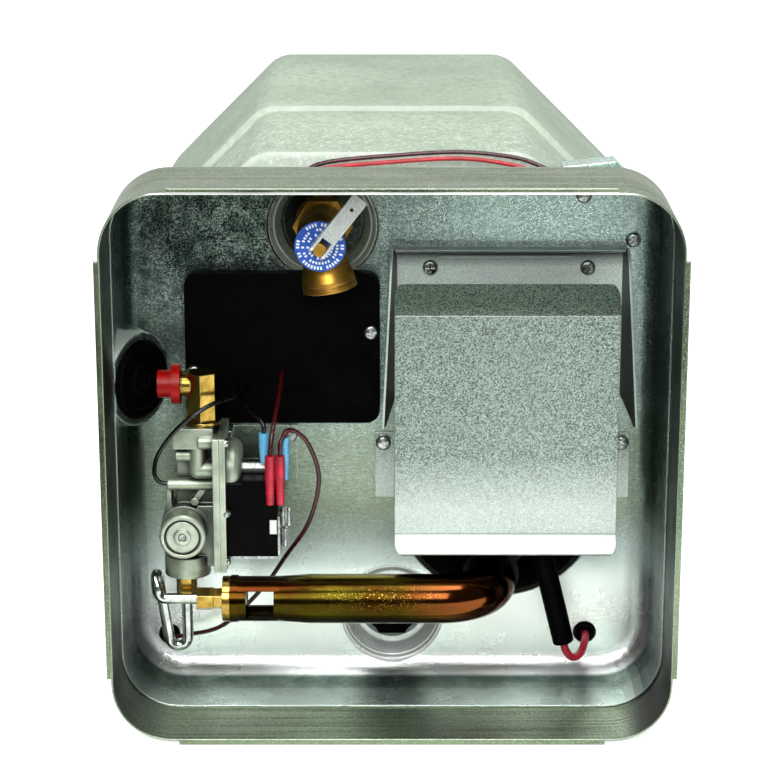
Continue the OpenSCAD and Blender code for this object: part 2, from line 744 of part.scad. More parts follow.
module relief_lever() {
  color("#cfd2d0") on_lever() difference() {
    union() {
      for (m = [-1, 1]) translate([0, m * (lever_w - cheek_t) / 2 + cheek_t / 2, pin_h]) rotate([90, 0, 0]) {
        cylinder(r = cheek_r, h = cheek_t);
        linear_extrude(cheek_t) polygon([[0, -cheek_r], [9, -cheek_r], [lever_l - 8, cheek_r - 3.4],
          [lever_l - 8, cheek_r], [0, cheek_r]]);
      }
      translate([7, 0, pin_h + cheek_r - lever_t]) linear_extrude(lever_t)
        polygon([[0, -lever_w / 2], [lever_l - 8, -lever_w / 2], [lever_l - 7, 1 - lever_w / 2],
          [lever_l - 7, lever_w / 2 - 1], [lever_l - 8, lever_w / 2], [0, lever_w / 2]]);
    }
    translate([0, 10, pin_h]) rotate([90, 0, 0]) cylinder(d = lever_pin_d + 2 * lever_fit, h = 20);
    translate([lever_l - 8, 0, 0]) cylinder(d = lever_eye, h = 20);
  }
}

// Thermostat corner

module cover_pad() {
  color("#15161a") difference() {
    at(cover[0], 0, cover[1]) plate(cover_t) round_square(cover_w, cover_h, cover_r);
    at(cover[0], -1, cover[1]) plate(hollow + 1)
      round_square(cover_w - 2 * cover_rim - 2, cover_h - 2 * cover_rim - 2, cover_r - 3);
    for (q = cover_screws) at(q[0], -1, q[1]) fore(screw_hole, cover_t + 2);
    for (q = [red_hole, black_hole, black_hole + [6, 0]]) at(q[0], -1, q[1]) fore(wire_d + 0.8, cover_t + 2);
  }
}

// Disc switch on the front of the tank
module disc_switch(q) {
  at(q[0], tank_s, q[1]) {
    fore(switch_d, switch_l - 2);
    fore(switch_d - 8, switch_l);
  }
  for (m = [-1, 1]) at(q[0] + m * 6 - 0.4, tank_s + switch_l + 3, q[1] - 3) cube([0.8, 4, 6]);
}

module thermostat() {
  color("#b08d57") disc_switch(thermo);
}

module limit_switch() {
  color("#b08d57") difference() {
    disc_switch(button);
    at(button[0], tank_s + 2, button[1]) fore(button_d + 2 * button_fit, switch_l);
  }
}

module reset_button() {
  color("#c8281e") at(button[0], tank_s + 4, button[1]) fore(button_d, switch_l - 1);
}

// Flue box

// Side wall of the flue box; m is -1 for left and 1 for right
module box_side(m) {
  reach_top = 10;
  foot = box_foot + 0.5;
  flare = atan(box_flare / box_reach);
  at(box_x + m * box_w / 2, 0, 0) rotate([0, 0, m * flare]) translate([m > 0 ? -flue_sheet : 0, 0, 0])
    rotate([90, 0, 90]) linear_extrude(flue_sheet)
      polygon([[0, foot], [0, box_top], [-reach_top, box_top], [-box_reach, foot - 14],
        [-box_reach + 4, foot - 14]]);
}

module flue_box() {
  color("#9aa096") difference() {
    union() {
      difference() {
        at(box_x - box_w / 2, flue_sheet, box_foot) cube([box_w, flue_sheet, box_top - box_foot]);
        at(leg_up[0], -1, leg_up[1]) fore(2 * leg_up_r + 2, 5);
      }
      at(box_x - box_w / 2, 10, box_top - flue_sheet) cube([box_w, 10, flue_sheet]);
      for (m = [-1, 1]) box_side(m);
    }
    for (q = box_screws) at(q[0], -1, q[1]) fore(screw_hole, 5);
    translate([-case_w, wall_y, 0]) cube([2 * case_w, 20, case_w]);
  }
}

// Bent strip of the deflector: bottom lip, flat face and top lip, seen from the side
module deflector_profile(t) {
  low = deflector_top - deflector_h;
  far = -deflector_s + deflector_lip;
  near = -deflector_s - deflector_kick;
  polygon([[near, low - deflector_kick], [-deflector_s, low], [-deflector_s, deflector_top],
    [far, deflector_top + deflector_lip], [far + t, deflector_top + deflector_lip - t],
    [-deflector_s + t, deflector_top - t / 2], [-deflector_s + t, low - t / 2],
    [near + t, low - deflector_kick - t]]);
}

// What is cut off an upper right corner to round it
module lip_corner() {
  translate([deflector_w / 2 - lip_r, -lip_r]) difference() {
    square(lip_r + 1);
    circle(lip_r);
  }
}

module flue_deflector() {
  reach = deflector_s - flue_sheet / 2;
  foot_w = flange_w + flue_sheet;
  color("#b3b8af") difference() {
    union() {
      at(deflector_x - deflector_w / 2, 0, 0) rotate([90, 0, 90]) linear_extrude(deflector_w)
        deflector_profile(flue_sheet);
      for (m = [-1, 1]) {
        at(deflector_x + m * (deflector_w - flue_sheet) / 2 - flue_sheet / 2, reach, arm_top - arm_h)
          cube([flue_sheet, reach, arm_h]);
        at(deflector_x + m * (deflector_w + flange_w) / 2 - foot_w / 2, flue_sheet, arm_top - arm_h)
          cube([foot_w, flue_sheet, arm_h]);
      }
    }
    for (q = arm_screws) at(q[0], -1, q[1]) fore(screw_hole, 5);
    for (m = [0, 1]) at(deflector_x, deflector_s - deflector_lip - 5, 0) mirror([m, 0, 0]) {
      translate([0, 0, deflector_top + deflector_lip]) plate(deflector_lip + 6) lip_corner();
      translate([0, 0, deflector_top - deflector_h - deflector_kick - flue_sheet])
        plate(deflector_lip + deflector_kick + 10) mirror([0, 1]) lip_corner();
    }
  }
}

module flue_screws() {
  color("#c9ccc8") for (q = concat(box_screws, arm_screws)) at(q[0], flue_sheet, q[1])
    screw(flue_sheet + sheet_t + 3);
}

// Gas train

// Places a shape by its distance from the middle of the regulator
module on_gas(x, s, z) {
  at(gas[0] + x, s, gas[1] + z) children();
}

module gas_valve_body() {
  inner = flange_x - flange_t - gas[0];
  low = flange_z[0] - gas[1];
  high = flange_z[1] - gas[1];
  turn = [8.4, 44, 35.2];
  color("#c9ccc6") difference() {
    union() {
      at(tube_x + 1, valve_s, boss_low) cylinder(d = boss_d, h = boss_h);
      on_gas(0, 22, 0) fore(2 * cap_r + 1, reg_s - 22);
      on_gas(-4, 40, -17.5) cube([inner + 4, 20, 68]);
      on_gas(7.6, 46, low) cube([inner - 7.6, 24, 36.6]);
      on_gas(-5.5, 50, 48.7) cube([inner + 5.5, 28, 12]);
      on_gas(9.2, 47.4, 52.5) across(upper_pipe, inner - 8.2);
      on_gas(-4, 44.4, 43.7) across(small_pipe, 10);
      on_gas(turn[0], turn[1], turn[2]) cylinder(d = passage_d, h = 15);
      on_gas(turn[0], turn[1], turn[2]) sphere(d = passage_d);
      on_gas(turn[0], turn[1], turn[2]) across(passage_d, inner - turn[0] + 1);
      on_gas(-9.2, 43, 25.7) across(lower_pipe, inner + 9.2);
      on_gas(-10.1, 43, 8) cube([2.6, 16, 14.3]);
      on_gas(6.2, 39, 16.2) fore(4.6, 8);
      on_gas(6.2, 45, 16.2) rotate([0, 34, 0]) translate([-1.7, 0, 0]) cube([3.4, 8, 12]);
      on_gas(inner, flange_s[1], low) cube([flange_t, flange_s[1] - flange_s[0], high - low]);
    }
    at(tube_x, valve_s, boss_low - 1) cylinder(d = 9, h = boss_h);
    at(elbow_x, elbow_s, top_block_z - 10) cylinder(d = 9, h = 12);
  }
}

module valve_flange() {
  color("#b9bdb6") at(flange_x, flange_s[1], flange_z[0])
    cube([flange_t, flange_s[1] - flange_s[0], flange_z[1] - flange_z[0]]);
}

module valve_dome() {
  color("#c4c8c2") at(flange_x + flange_t, stem_s, stem_z) rotate([0, 90, 0]) rotate_extrude()
    polygon(concat([[0, 0], [dome_r, 0]], arc([dome_r - 6, dome_l - 6], 6, 0, 90, 4), [[0, dome_l]]));
}

module coil_stem() {
  color("#d0d2cd") at(flange_x + flange_t + dome_l, stem_s, stem_z) across(11, stem_end);
}

module solenoid_coil() {
  left = flange_x + flange_t;
  color("#111214") difference() {
    union() {
      at(left + 0.2, coil_s[1], coil[1])
        cube([coil[0] - left - 0.2, coil_s[1] - coil_s[0], coil[2] - coil[1]]);
      at(coil[0] - 4.6, coil_s[1] + 0.8, coil[1] + 14) cube([4, 1, 8.4]);
    }
    at(left - 1, stem_s, stem_z) across(2 * dome_r + 0.6, dome_l + 1.3);
    at(left - 1, stem_s, stem_z) across(11.6, dome_l + stem_end + 1.6);
  }
}

module coil_frame() {
  left = flange_x + flange_t;
  color("#dfe2de") {
    at(left, coil_s[1], coil[1] - 1.2) cube([coil[0] - left + 1.2, coil_s[1] - coil_s[0], 1.2]);
    at(coil[0], coil_s[1], coil[1] - e) cube([1.2, coil_s[1] - coil_s[0], 24]);
  }
}

module coil_tabs() {
  color("#c7d2dc") for (q = [[6.5, 16.8], [4.2, 4.4]])
    at(coil[0] + 1.2, 47.4, coil[1] + q[1]) cube([q[0], 5.2, 10.6]);
}

// Crimp sleeve whose wire end is at the top
module sleeve(l) {
  cylinder(d1 = sleeve_d - 1.2, d2 = sleeve_d, h = l * 0.55);
  translate([0, 0, l * 0.55]) cylinder(d = sleeve_d, h = l * 0.45);
}

module red_terminals() {
  s = coil_s[1] + sleeve_d / 2 + 1.1;
  color("#c01820") {
    at(coil[0] - 4, s, gas[1] + 17.7) sleeve(29);
    at(coil[0] + 1.9, s - 0.1, gas[1] + 17.7) sleeve(29);
  }
}

module blue_terminals() {
  color("#5fb4d8") {
    on_gas(46.5, 48, 40.7) sleeve(17.2);
    at(coil[0] + 4.3, coil_s[1] - 2, coil[2] + 0.4) sleeve(25);
  }
}

module regulator_cap() {
  h = cap_s - reg_s;
  color("#c4c8c2") on_gas(0, reg_s, 0) turned()
    polygon([[0, 0], [cap_r, 0], [cap_r, h - 1], [cap_r - 1, h], [cap_r - 2.6, h], [cap_r - 2.6, h - 3],
      [cap_r - 4, h - 3], [cap_r - 4, h - 0.6], [5, h - 0.6], [4.4, h + 0.4], [2.4, h + 0.4], [2, h - 0.8],
      [0, h - 0.8]]);
}

module valve_bracket() {
  x = flange_x + flange_t;
  low = gas[1] + 8.7;
  color("#a2a8a0") difference() {
    union() {
      at(x, bracket_t, low) cube([bracket_screw[0] - x + 4.5, bracket_t, 40]);
      at(x, flange_s[0] - 0.2, low) cube([bracket_t, flange_s[0] - 0.2, 40]);
      at(flange_x - flange_t, flange_s[0] - 0.2, low) cube([2 * flange_t + bracket_t, bracket_t, 40]);
    }
    at(bracket_screw[0], -1, bracket_screw[1]) fore(screw_hole, 5);
  }
}

module inlet_elbow() {
  color("#b8872f") difference() {
    union() {
      at(elbow_x, elbow_s, elbow_base) rotate([0, 0, 30])
        cylinder(d = elbow_af / cos(30), h = elbow_h, $fn = 6);
      at(elbow_x, elbow_s, top_block_z) cylinder(d = 22, h = 2);
      at(elbow_x, elbow_s, top_block_z - 9.5) cylinder(d = 9, h = 12);
      at(elbow_x - elbow_af / 2 - nipple_l, elbow_s, nipple_z) across(nipple_d, nipple_l + 2);
    }
    at(elbow_x - elbow_af / 2 - nipple_l - 1, elbow_s, nipple_z) across(7, nipple_l + 8);
  }
}

// Two-diameter cap over the end of the elbow's nipple
module inlet_cap() {
  end_x = elbow_x - elbow_af / 2 - nipple_l;
  color("#e01010") difference() {
    union() {
      at(end_x - 3, elbow_s, nipple_z) across(16, 9);
      at(end_x + 5, elbow_s, nipple_z) across(23, 5);
    }
    at(end_x, elbow_s, nipple_z) across(nipple_d, 20);
  }
}

module gas_grommet() {
  color("#0e0f10") on_pocket() difference() {
    union() {
      cylinder(r1 = grommet_r, r2 = grommet_r - 2, h = 3.2);
      translate([0, 0, -6]) cylinder(r = pocket_hole - 0.1, h = 7);
    }
    translate([0, 0, -10]) cylinder(r = gas_bore, h = 20);
    translate([0, 0, 1.8]) difference() {
      cylinder(r = grommet_r - 6, h = 5);
      cylinder(r = gas_bore + 4, h = 5);
    }
  }
}

module outlet_fitting() {
  color("#b07a2a") difference() {
    union() {
      at(tube_x, valve_s, boss_low - fitting_l) cylinder(d = 12, h = fitting_l, $fn = 6);
      at(tube_x, valve_s, boss_low - e) cylinder(d = 9, h = boss_h - 1.4);
    }
    at(tube_x, valve_s, boss_low - fitting_l - 1) cylinder(d = tube_d, h = fitting_l);
  }
}

module gas_tube() {
  color("#aeb1ae") sweep(gas_path(), tube_d, 16);
}

module tube_nut() {
  color("#b8872f") difference() {
    at(nut_x, burner_s, burner_z) across_hex(nut_af, nut_l);
    at(nut_x - 1, burner_s, burner_z) across(tube_d, nut_l + 2);
  }
}

module orifice_holder() {
  hex_x = nut_x + nut_l;
  color("#c9a23a") difference() {
    union() {
      at(hex_x, burner_s, burner_z) across_hex(nut_af - 1, mixer_x - hex_x);
      at(mixer_x, burner_s, burner_z) across(2 * (mixer_r + 0.9), disc_l);
      at(mixer_x, burner_s, burner_z) across(2 * (mixer_r - burner_wall) - 0.2, disc_l + 3);
      at(mixer_x, burner_s, burner_z) across(spud_d, disc_l + 9);
    }
    at(mixer_x + disc_l, burner_s, burner_z) across(1.4, 10);
  }
}

// Air window through the front and back walls of a tube
module air_window() {
  at(window_x - window / 2, burner_s + 20, burner_z - window / 2) cube([window, 40, window]);
}

module air_shutter() {
  in_r = mixer_r + shutter_fit;
  color("#b98a2c") difference() {
    union() {
      at(mixer_x + disc_l + 0.3, burner_s, burner_z)
        across(2 * (in_r + shutter_wall), mixer_l - disc_l - 0.6);
      at(mixer_x + disc_l + 0.3, burner_s, burner_z) across(2 * (in_r + shutter_wall) + 1.2, 4.4);
    }
    at(mixer_x, burner_s, burner_z) across(2 * in_r, mixer_l + 2);
    air_window();
  }
}

// Outer form of the burner, drawn in by g
module burner_form(g) {
  tube_from = mixer_x + mixer_l + flare_l;
  at(mixer_x + disc_l - g, burner_s, burner_z) across(2 * (mixer_r - g), mixer_l - disc_l + 1 + g);
  at(mixer_x + mixer_l, burner_s, burner_z) rotate([0, 90, 0])
    cylinder(r1 = mixer_r + 0.9 - g, r2 = burner_r - g, h = flare_l);
  at(tube_from, burner_s, burner_z) across(2 * (burner_r - g), turn_x - tube_from);
  at(turn_x, burner_s - bend_r, burner_z) rotate([0, 0, -90]) rotate_extrude(angle = 90)
    translate([bend_r, 0]) circle(burner_r - g);
  at(mouth_x, -burner_in - g, burner_z) fore(2 * (burner_r - g), burner_s - bend_r + burner_in + g);
}

module burner_tube() {
  color("#8a5a1e") difference() {
    burner_form(0);
    burner_form(burner_wall);
    air_window();
  }
}

// Ignition

module electrode() {
  x = boot_top[0];
  z = boot_top[2];
  color("#e4e2da") at(x, boot_top[1] - 16 - insulator_l, z) fore(insulator_d, insulator_l);
  color("#7a7a78") at(x, boot_top[1] - 16 - insulator_l - 22, z) fore(2.4, 22);
}

module electrode_bracket() {
  x = boot_top[0];
  z = boot_top[2];
  color("#5a5a58") difference() {
    at(0, bracket_s, 0) plate(1.6) union() {
      translate([x, z]) circle(8);
      translate([mouth_x, burner_z]) rotate(atan2(z - burner_z, x - mouth_x)) translate([0, -5])
        square([norm([z - burner_z, x - mouth_x]), 10]);
      translate([mouth_x, burner_z]) circle(burner_r + 2.4);
    }
    at(x, bracket_s - 5, z) fore(insulator_d, 10);
    at(mouth_x, bracket_s - 5, burner_z) fore(2 * burner_r, 10);
  }
}

// Rubber boot: a socket on the insulator and a sleeve that hangs down over the cable
module electrode_boot() {
  drop = boot_low - boot_top;
  long = norm(drop);
  lean = atan2(drop[0], -drop[2]);
  tip = atan2(drop[1], norm([drop[0], drop[2]]));
  color("#0c0c0d") difference() {
    union() {
      at(boot_top[0], boot_top[1] - 18, boot_top[2]) fore(boot_d, 18);
      at(boot_top[0], boot_top[1], boot_top[2]) sphere(d = boot_d + 1);
      at(boot_top[0], boot_top[1], boot_top[2]) rotate([0, 180 - lean, 0]) rotate([tip, 0, 0])
        cylinder(d = boot_d, h = long);
    }
    at(boot_top[0], boot_top[1] - 19, boot_top[2]) fore(insulator_d, 3);
    at(boot_top[0], boot_top[1], boot_top[2]) rotate([0, 180 - lean, 0]) rotate([tip, 0, 0])
      translate([0, 0, long - 9]) cylinder(d = cable_d + 0.6, h = 10);
  }
}

module spark_grommet() {
  color("#0e0f10") at(spark_hole[0], 0, spark_hole[1]) difference() {
    union() {
      turned() polygon([[0, 0], [spark_grommet_d / 2, 0], [spark_grommet_d / 2 - 1.5, 3.4], [0, 3.4]]);
      translate([0, 4, 0]) fore(spark_grommet_d - 4.2, 4.5);
    }
    translate([0, 10, 0]) fore(cable_d + 0.4, 20);
  }
}

// Sleeve in the hole where the wires leave the compartment
module wire_grommet() {
  color("#0e0f10") at(wire_hole[0], 0, wire_hole[1]) difference() {
    union() {
      turned() polygon([[0, 0], [wire_grommet_d / 2, 0], [wire_grommet_d / 2 - 1, 1.6], [0, 1.6]]);
      translate([0, 4, 0]) fore(wire_grommet_d - 4.2, 4.5);
    }
    translate([0, 10, 0]) fore(wire_d + 2.4, 20);
  }
}

module spark_wire() {
  color("#d01622") wire(spark_route, cable_d, 2);
}

// Sheet box for the ignition board, with one corner cut back
module module_cover() {
  color("#b9c4c4") difference() {
    at(board[0], board_s[0], board[1]) plate(board_s[1] - board_s[0])
      polygon([[0, 0], [board[2], 0], [board[2], board[3] - 8], [board[2] - 8, board[3]],
        [0, board[3] - 3]]);
    at(board[0] + sheet_t, board_s[0] + sheet_t, board[1] + sheet_t)
      plate(board_s[1] - board_s[0] - 2 * sheet_t)
        polygon([[0, 0], [board[2] - 2, 0], [board[2] - 2, board[3] - 10], [board[2] - 10, board[3] - 3],
          [0, board[3] - 6]]);
  }
}

module ignition_module() {
  color("#2f6b3a") at(board[0] + 3, board_s[0] + sheet_t, board[1] + 3) plate(8)
    square([board[2] - 8, board[3] - 14]);
}

// Leads

module top_wire_red() {
  color("#c01822") wire(red_route, wire_d, 2);
}

module top_wire_black() {
  color("#1c1516") wire(black_route, wire_d, 2);
}

module wire_loop() {
  color("#5c1016") wire(loop_route, wire_d, 3);
}

module thermostat_wire() {
  color("#6a1018") wire(thermo_route, wire_d, 3);
}

module limit_wire() {
  color("#141414") wire(limit_route, wire_d, 3);
}

module ground_wire() {
  color("#141414") wire(ground_route, wire_d, 3);
}

pan_collar();
front_pan();
pan_screws();
foam_upper();
foam_lower();
front_insulation();
tank_shell();
flue_burner_leg();
flue_exhaust_leg();
flue_return();
hot_outlet_coupling();
cold_inlet_coupling();
anode_rod();
relief_valve_body();
relief_tag_disc();
relief_stem();
lever_pin();
relief_lever();
cover_pad();
thermostat();
limit_switch();
reset_button();
flue_box();
flue_deflector();
flue_screws();
gas_valve_body();
valve_flange();
valve_dome();
coil_stem();
solenoid_coil();
coil_frame();
coil_tabs();
red_terminals();
blue_terminals();
regulator_cap();
valve_bracket();
inlet_elbow();
inlet_cap();
gas_grommet();
outlet_fitting();
gas_tube();
tube_nut();
orifice_holder();
air_shutter();
burner_tube();
electrode();
electrode_bracket();
electrode_boot();
spark_wire();
spark_grommet();
wire_grommet();
module_cover();
ignition_module();
top_wire_red();
top_wire_black();
wire_loop();
thermostat_wire();
limit_wire();
ground_wire();
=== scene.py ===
import math

import bpy
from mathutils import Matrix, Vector


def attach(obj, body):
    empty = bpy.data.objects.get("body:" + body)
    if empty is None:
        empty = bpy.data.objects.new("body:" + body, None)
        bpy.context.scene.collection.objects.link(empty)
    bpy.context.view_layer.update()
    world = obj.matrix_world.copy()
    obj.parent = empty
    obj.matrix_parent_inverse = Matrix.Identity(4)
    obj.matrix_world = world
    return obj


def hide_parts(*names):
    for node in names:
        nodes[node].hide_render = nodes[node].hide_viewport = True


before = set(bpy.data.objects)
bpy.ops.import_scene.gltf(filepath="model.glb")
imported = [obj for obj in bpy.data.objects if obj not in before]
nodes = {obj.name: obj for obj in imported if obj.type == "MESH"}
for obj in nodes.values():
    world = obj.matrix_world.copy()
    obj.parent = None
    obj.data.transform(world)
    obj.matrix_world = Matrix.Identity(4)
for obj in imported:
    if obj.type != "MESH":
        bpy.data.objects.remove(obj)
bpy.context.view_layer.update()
bpy.ops.object.select_all(action="DESELECT")

# Studio: the heater stands on a white table in front of a white backdrop and is seen from the front, a
# little from above. A broad soft lamp hangs over the table, one stands by the camera and a weak one behind;
# the room in front of the table is dim, so polished metal has something dark to show.
front_y = -0.2435
aim = Vector((0.0, front_y, 0.209))
pitch = math.radians(16.2)
reach = 1.384
camera_data = bpy.data.cameras.new("photo_camera")
camera_data.lens = 116.4
camera_data.sensor_width = 36
camera = bpy.data.objects.new("photo_camera", camera_data)
bpy.context.scene.collection.objects.link(camera)
camera.location = aim + reach * Vector((0, -math.cos(pitch), math.sin(pitch)))
camera.rotation_euler = (math.pi / 2 - pitch, 0, 0)
bpy.context.scene.camera = camera
bpy.context.scene.view_settings.view_transform = "Standard"


def put(tree, kind, values=None, **settings):
    made = tree.nodes.new("ShaderNode" + kind)
    for key, value in settings.items():
        setattr(made, key, value)
    for key, value in (values or {}).items():
        if isinstance(value, bpy.types.NodeSocket):
            tree.links.new(value, made.inputs[key])
        else:
            made.inputs[key].default_value = value
    return made


def sums(tree, operation, first, second=0.0):
    return put(tree, "Math", {0: first, 1: second}, operation=operation).outputs[0]


def both(tree, first, second):
    return sums(tree, "MULTIPLY", first, second)


def window(tree, value, low, high, to_low=0.0, to_high=1.0):
    return put(tree, "MapRange", {0: value, 1: low, 2: high, 3: to_low, 4: to_high}).outputs[0]


def axes(tree, vector):
    return put(tree, "SeparateXYZ", {0: vector}).outputs


white = (1, 1, 1, 1)
room_tint = (0.84, 0.97, 0.92, 1)
room_strength = 0.45
room_mirrored = 0.06
surround = bpy.data.worlds.new("surround")
bpy.context.scene.world = surround
surround.use_nodes = True
sky = surround.node_tree
sky.nodes.clear()
sky_rays = put(sky, "LightPath").outputs
sky_way = axes(sky, put(sky, "TexCoord").outputs["Generated"])["Y"]
sky_mirrored = sums(sky, "MAXIMUM", sky_rays["Is Glossy Ray"], sky_rays["Is Transmission Ray"])
sky_behind = both(sky, sky_mirrored, window(sky, sky_way, -0.1, 0.35))
sky_shown = sums(sky, "MAXIMUM", sky_rays["Is Camera Ray"], sky_behind)
room_light = window(sky, sky_mirrored, 0, 1, room_strength, room_mirrored)
sky_room = put(sky, "Background", {"Color": room_tint, "Strength": room_light}).outputs[0]
sky_white = put(sky, "Background", {"Color": white, "Strength": 1.0}).outputs[0]
sky_seen = put(sky, "MixShader", {0: sky_shown, 1: sky_room, 2: sky_white}).outputs[0]
put(sky, "OutputWorld", {"Surface": sky_seen})


def soft_lamp(name, place, target, size, power):
    data = bpy.data.lights.new(name, "AREA")
    data.shape = "RECTANGLE"
    data.size, data.size_y = size
    data.energy = power
    lamp = bpy.data.objects.new(name, data)
    bpy.context.scene.collection.objects.link(lamp)
    lamp.location = place
    lamp.rotation_euler = (Vector(target) - Vector(place)).to_track_quat("-Z", "Y").to_euler()


soft_lamp("lamp_by_camera", (-0.25, -1.95, 1.2), (0, -0.2, 0.14), (1.3, 0.9), 31)
soft_lamp("lamp_over_table", (0.15, -0.75, 1.7), (0, -0.2, 0.1), (1.1, 0.7), 20)
soft_lamp("lamp_behind", (0.3, 0.9, 1.9), (0, 0.1, 0.25), (1.2, 1.2), 7)

table_turn = math.radians(-65)
table_corner = Vector((-0.1, -0.775, -0.0006))
table_side = 8.0
table_slide = 2
table_along = Vector((math.cos(table_turn), math.sin(table_turn), 0))
table_inward = Vector((-math.sin(table_turn), math.cos(table_turn), 0))
table_middle = table_corner + table_inward * table_side / 2 - table_along * table_slide
bpy.ops.mesh.primitive_plane_add(size=table_side, rotation=(0, 0, table_turn), location=table_middle)
floor = bpy.context.object
floor.name = "floor"
paper = bpy.data.materials.new("floor_paper")
paper.use_nodes = True
paper_tree = paper.node_tree
paper_tree.nodes.clear()
paper_rays = put(paper_tree, "LightPath").outputs
paper_mirrored = sums(paper_tree, "MAXIMUM", paper_rays["Is Glossy Ray"], paper_rays["Is Transmission Ray"])
paper_shown = sums(paper_tree, "MAXIMUM", paper_rays["Is Camera Ray"], paper_mirrored)
paper_plain = put(paper_tree, "BsdfDiffuse", {"Color": (0.86, 0.86, 0.86, 1)}).outputs[0]
paper_glow = put(paper_tree, "Emission", {"Color": white, "Strength": 0.7}).outputs[0]
paper_lit = put(paper_tree, "AddShader", {0: paper_plain, 1: paper_glow}).outputs[0]
paper_seen = put(paper_tree, "MixShader", {0: paper_shown, 1: paper_plain, 2: paper_lit}).outputs[0]
put(paper_tree, "OutputMaterial", {"Surface": paper_seen})
floor.data.materials.append(paper)

# Leads: stranded copper in soft insulation, cut to length, crimped at one end and led through the
# cover, the pan or the gap above the tank. Each lies on the route that its solid has.
wall_y = -0.1455
axis_z = 0.161
wire_d = 0.0026
cable_d = 0.0046
steps_between_points = 8


def spot(x, s, z):
    return Vector((x / 1000, wall_y - s / 1000, axis_z + z / 1000))


def hue(code):
    parts = [int(code[i:i + 2], 16) / 255 for i in (0, 2, 4)]
    return tuple(p / 12.92 if p <= 0.04045 else ((p + 0.055) / 1.055) ** 2.4 for p in parts) + (1,)


def surface(name, metallic=0.0, roughness=0.5, specular=0.5):
    made = bpy.data.materials.new(name)
    made.use_nodes = True
    tree = made.node_tree
    shader = tree.nodes["Principled BSDF"]
    shader.inputs["Metallic"].default_value = metallic
    shader.inputs["Roughness"].default_value = roughness
    shader.inputs["Specular IOR Level"].default_value = specular
    coords = put(tree, "TexCoord").outputs["Object"]
    return made, tree, shader, coords


def noise(tree, vector, scale, **extra):
    return put(tree, "TexNoise", {"Vector": vector, "Scale": scale, **extra}).outputs[0]


def between(tree, factor, low, high):
    return put(tree, "Mix", {0: factor, 6: low, 7: high}, data_type="RGBA", blend_type="MIX").outputs[2]


def colour(tree, shader, skin):
    tree.links.new(skin, shader.inputs["Base Color"])


def polish(tree, shader, tone, dullest, brightest):
    tree.links.new(window(tree, tone, 0, 1, dullest, brightest), shader.inputs["Roughness"])


def relief(tree, shader, height, distance, strength=1.0, normal=None):
    bump = put(tree, "Bump", {"Height": height, "Distance": distance, "Strength": strength})
    if normal is not None:
        tree.links.new(normal, bump.inputs["Normal"])
    tree.links.new(bump.outputs[0], shader.inputs["Normal"])


def finish_group(name, inputs, outputs):
    made = bpy.data.node_groups.new(name, "ShaderNodeTree")
    for key, kind, value in inputs:
        socket = made.interface.new_socket(key, in_out="INPUT", socket_type="NodeSocket" + kind)
        if value is not None:
            socket.default_value = value
    for key, kind in outputs:
        made.interface.new_socket(key, in_out="OUTPUT", socket_type="NodeSocket" + kind)
    start = made.nodes.new("NodeGroupInput")
    end = made.nodes.new("NodeGroupOutput")
    return made, start.outputs, end.inputs


def use(tree, group, values):
    return put(tree, "Group", values, node_tree=group).outputs


# Cloudy tone that varies slowly over a surface
stain, given, end = finish_group("stain", [("Vector", "Vector", None), ("Scale", "Float", 30.0),
                                           ("Detail", "Float", 4.0)], [("Tone", "Float")])
stain_noise = noise(stain, given["Vector"], given["Scale"], Detail=given["Detail"], Roughness=0.6)
stain.links.new(window(stain, stain_noise, 0.3, 0.7), end["Tone"])


def clouds(tree, vector, scale, **extra):
    return use(tree, stain, {"Vector": vector, "Scale": scale, **extra})["Tone"]


def clouded(name, base, scale, low, high):
    made, tree, shader, coords = surface(name, *base)
    tone = clouds(tree, coords, scale)
    colour(tree, shader, between(tree, tone, hue(low), hue(high)))
    return made, tree, shader, coords, tone


def insulation(name, code, dark_code, roughness):
    made, tree, shader, coords, tone = clouded(name, (0, roughness), 160.0, dark_code, code)
    polish(tree, shader, tone, roughness + 0.1, roughness - 0.06)
    relief(tree, shader, noise(tree, coords, 900.0), 0.00012)
    return made


def lead(name, route, diameter, node, material):
    points = [spot(*p) for p in route]
    last = len(points) - 1
    line = []
    for i in range(last):
        a, b, c, d = (points[max(0, min(last, i + k))] for k in (-1, 0, 1, 2))
        for j in range(steps_between_points):
            t = j / steps_between_points
            line.append(0.5 * (2 * b + (c - a) * t + (2 * a - 5 * b + 4 * c - d) * t ** 2
                               + (3 * b - a - 3 * c + d) * t ** 3))
    line.append(points[last])
    data = bpy.data.curves.new(name, "CURVE")
    data.dimensions = "3D"
    data.bevel_depth = diameter / 2
    data.bevel_resolution = 4
    data.use_fill_caps = True
    spline = data.splines.new("POLY")
    spline.points.add(len(line) - 1)
    for point, place in zip(spline.points, line):
        point.co = (*place, 1)
    piece = bpy.data.objects.new(name, data)
    bpy.context.scene.collection.objects.link(piece)
    data.materials.append(material)
    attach(piece, "heater")
    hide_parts(node)


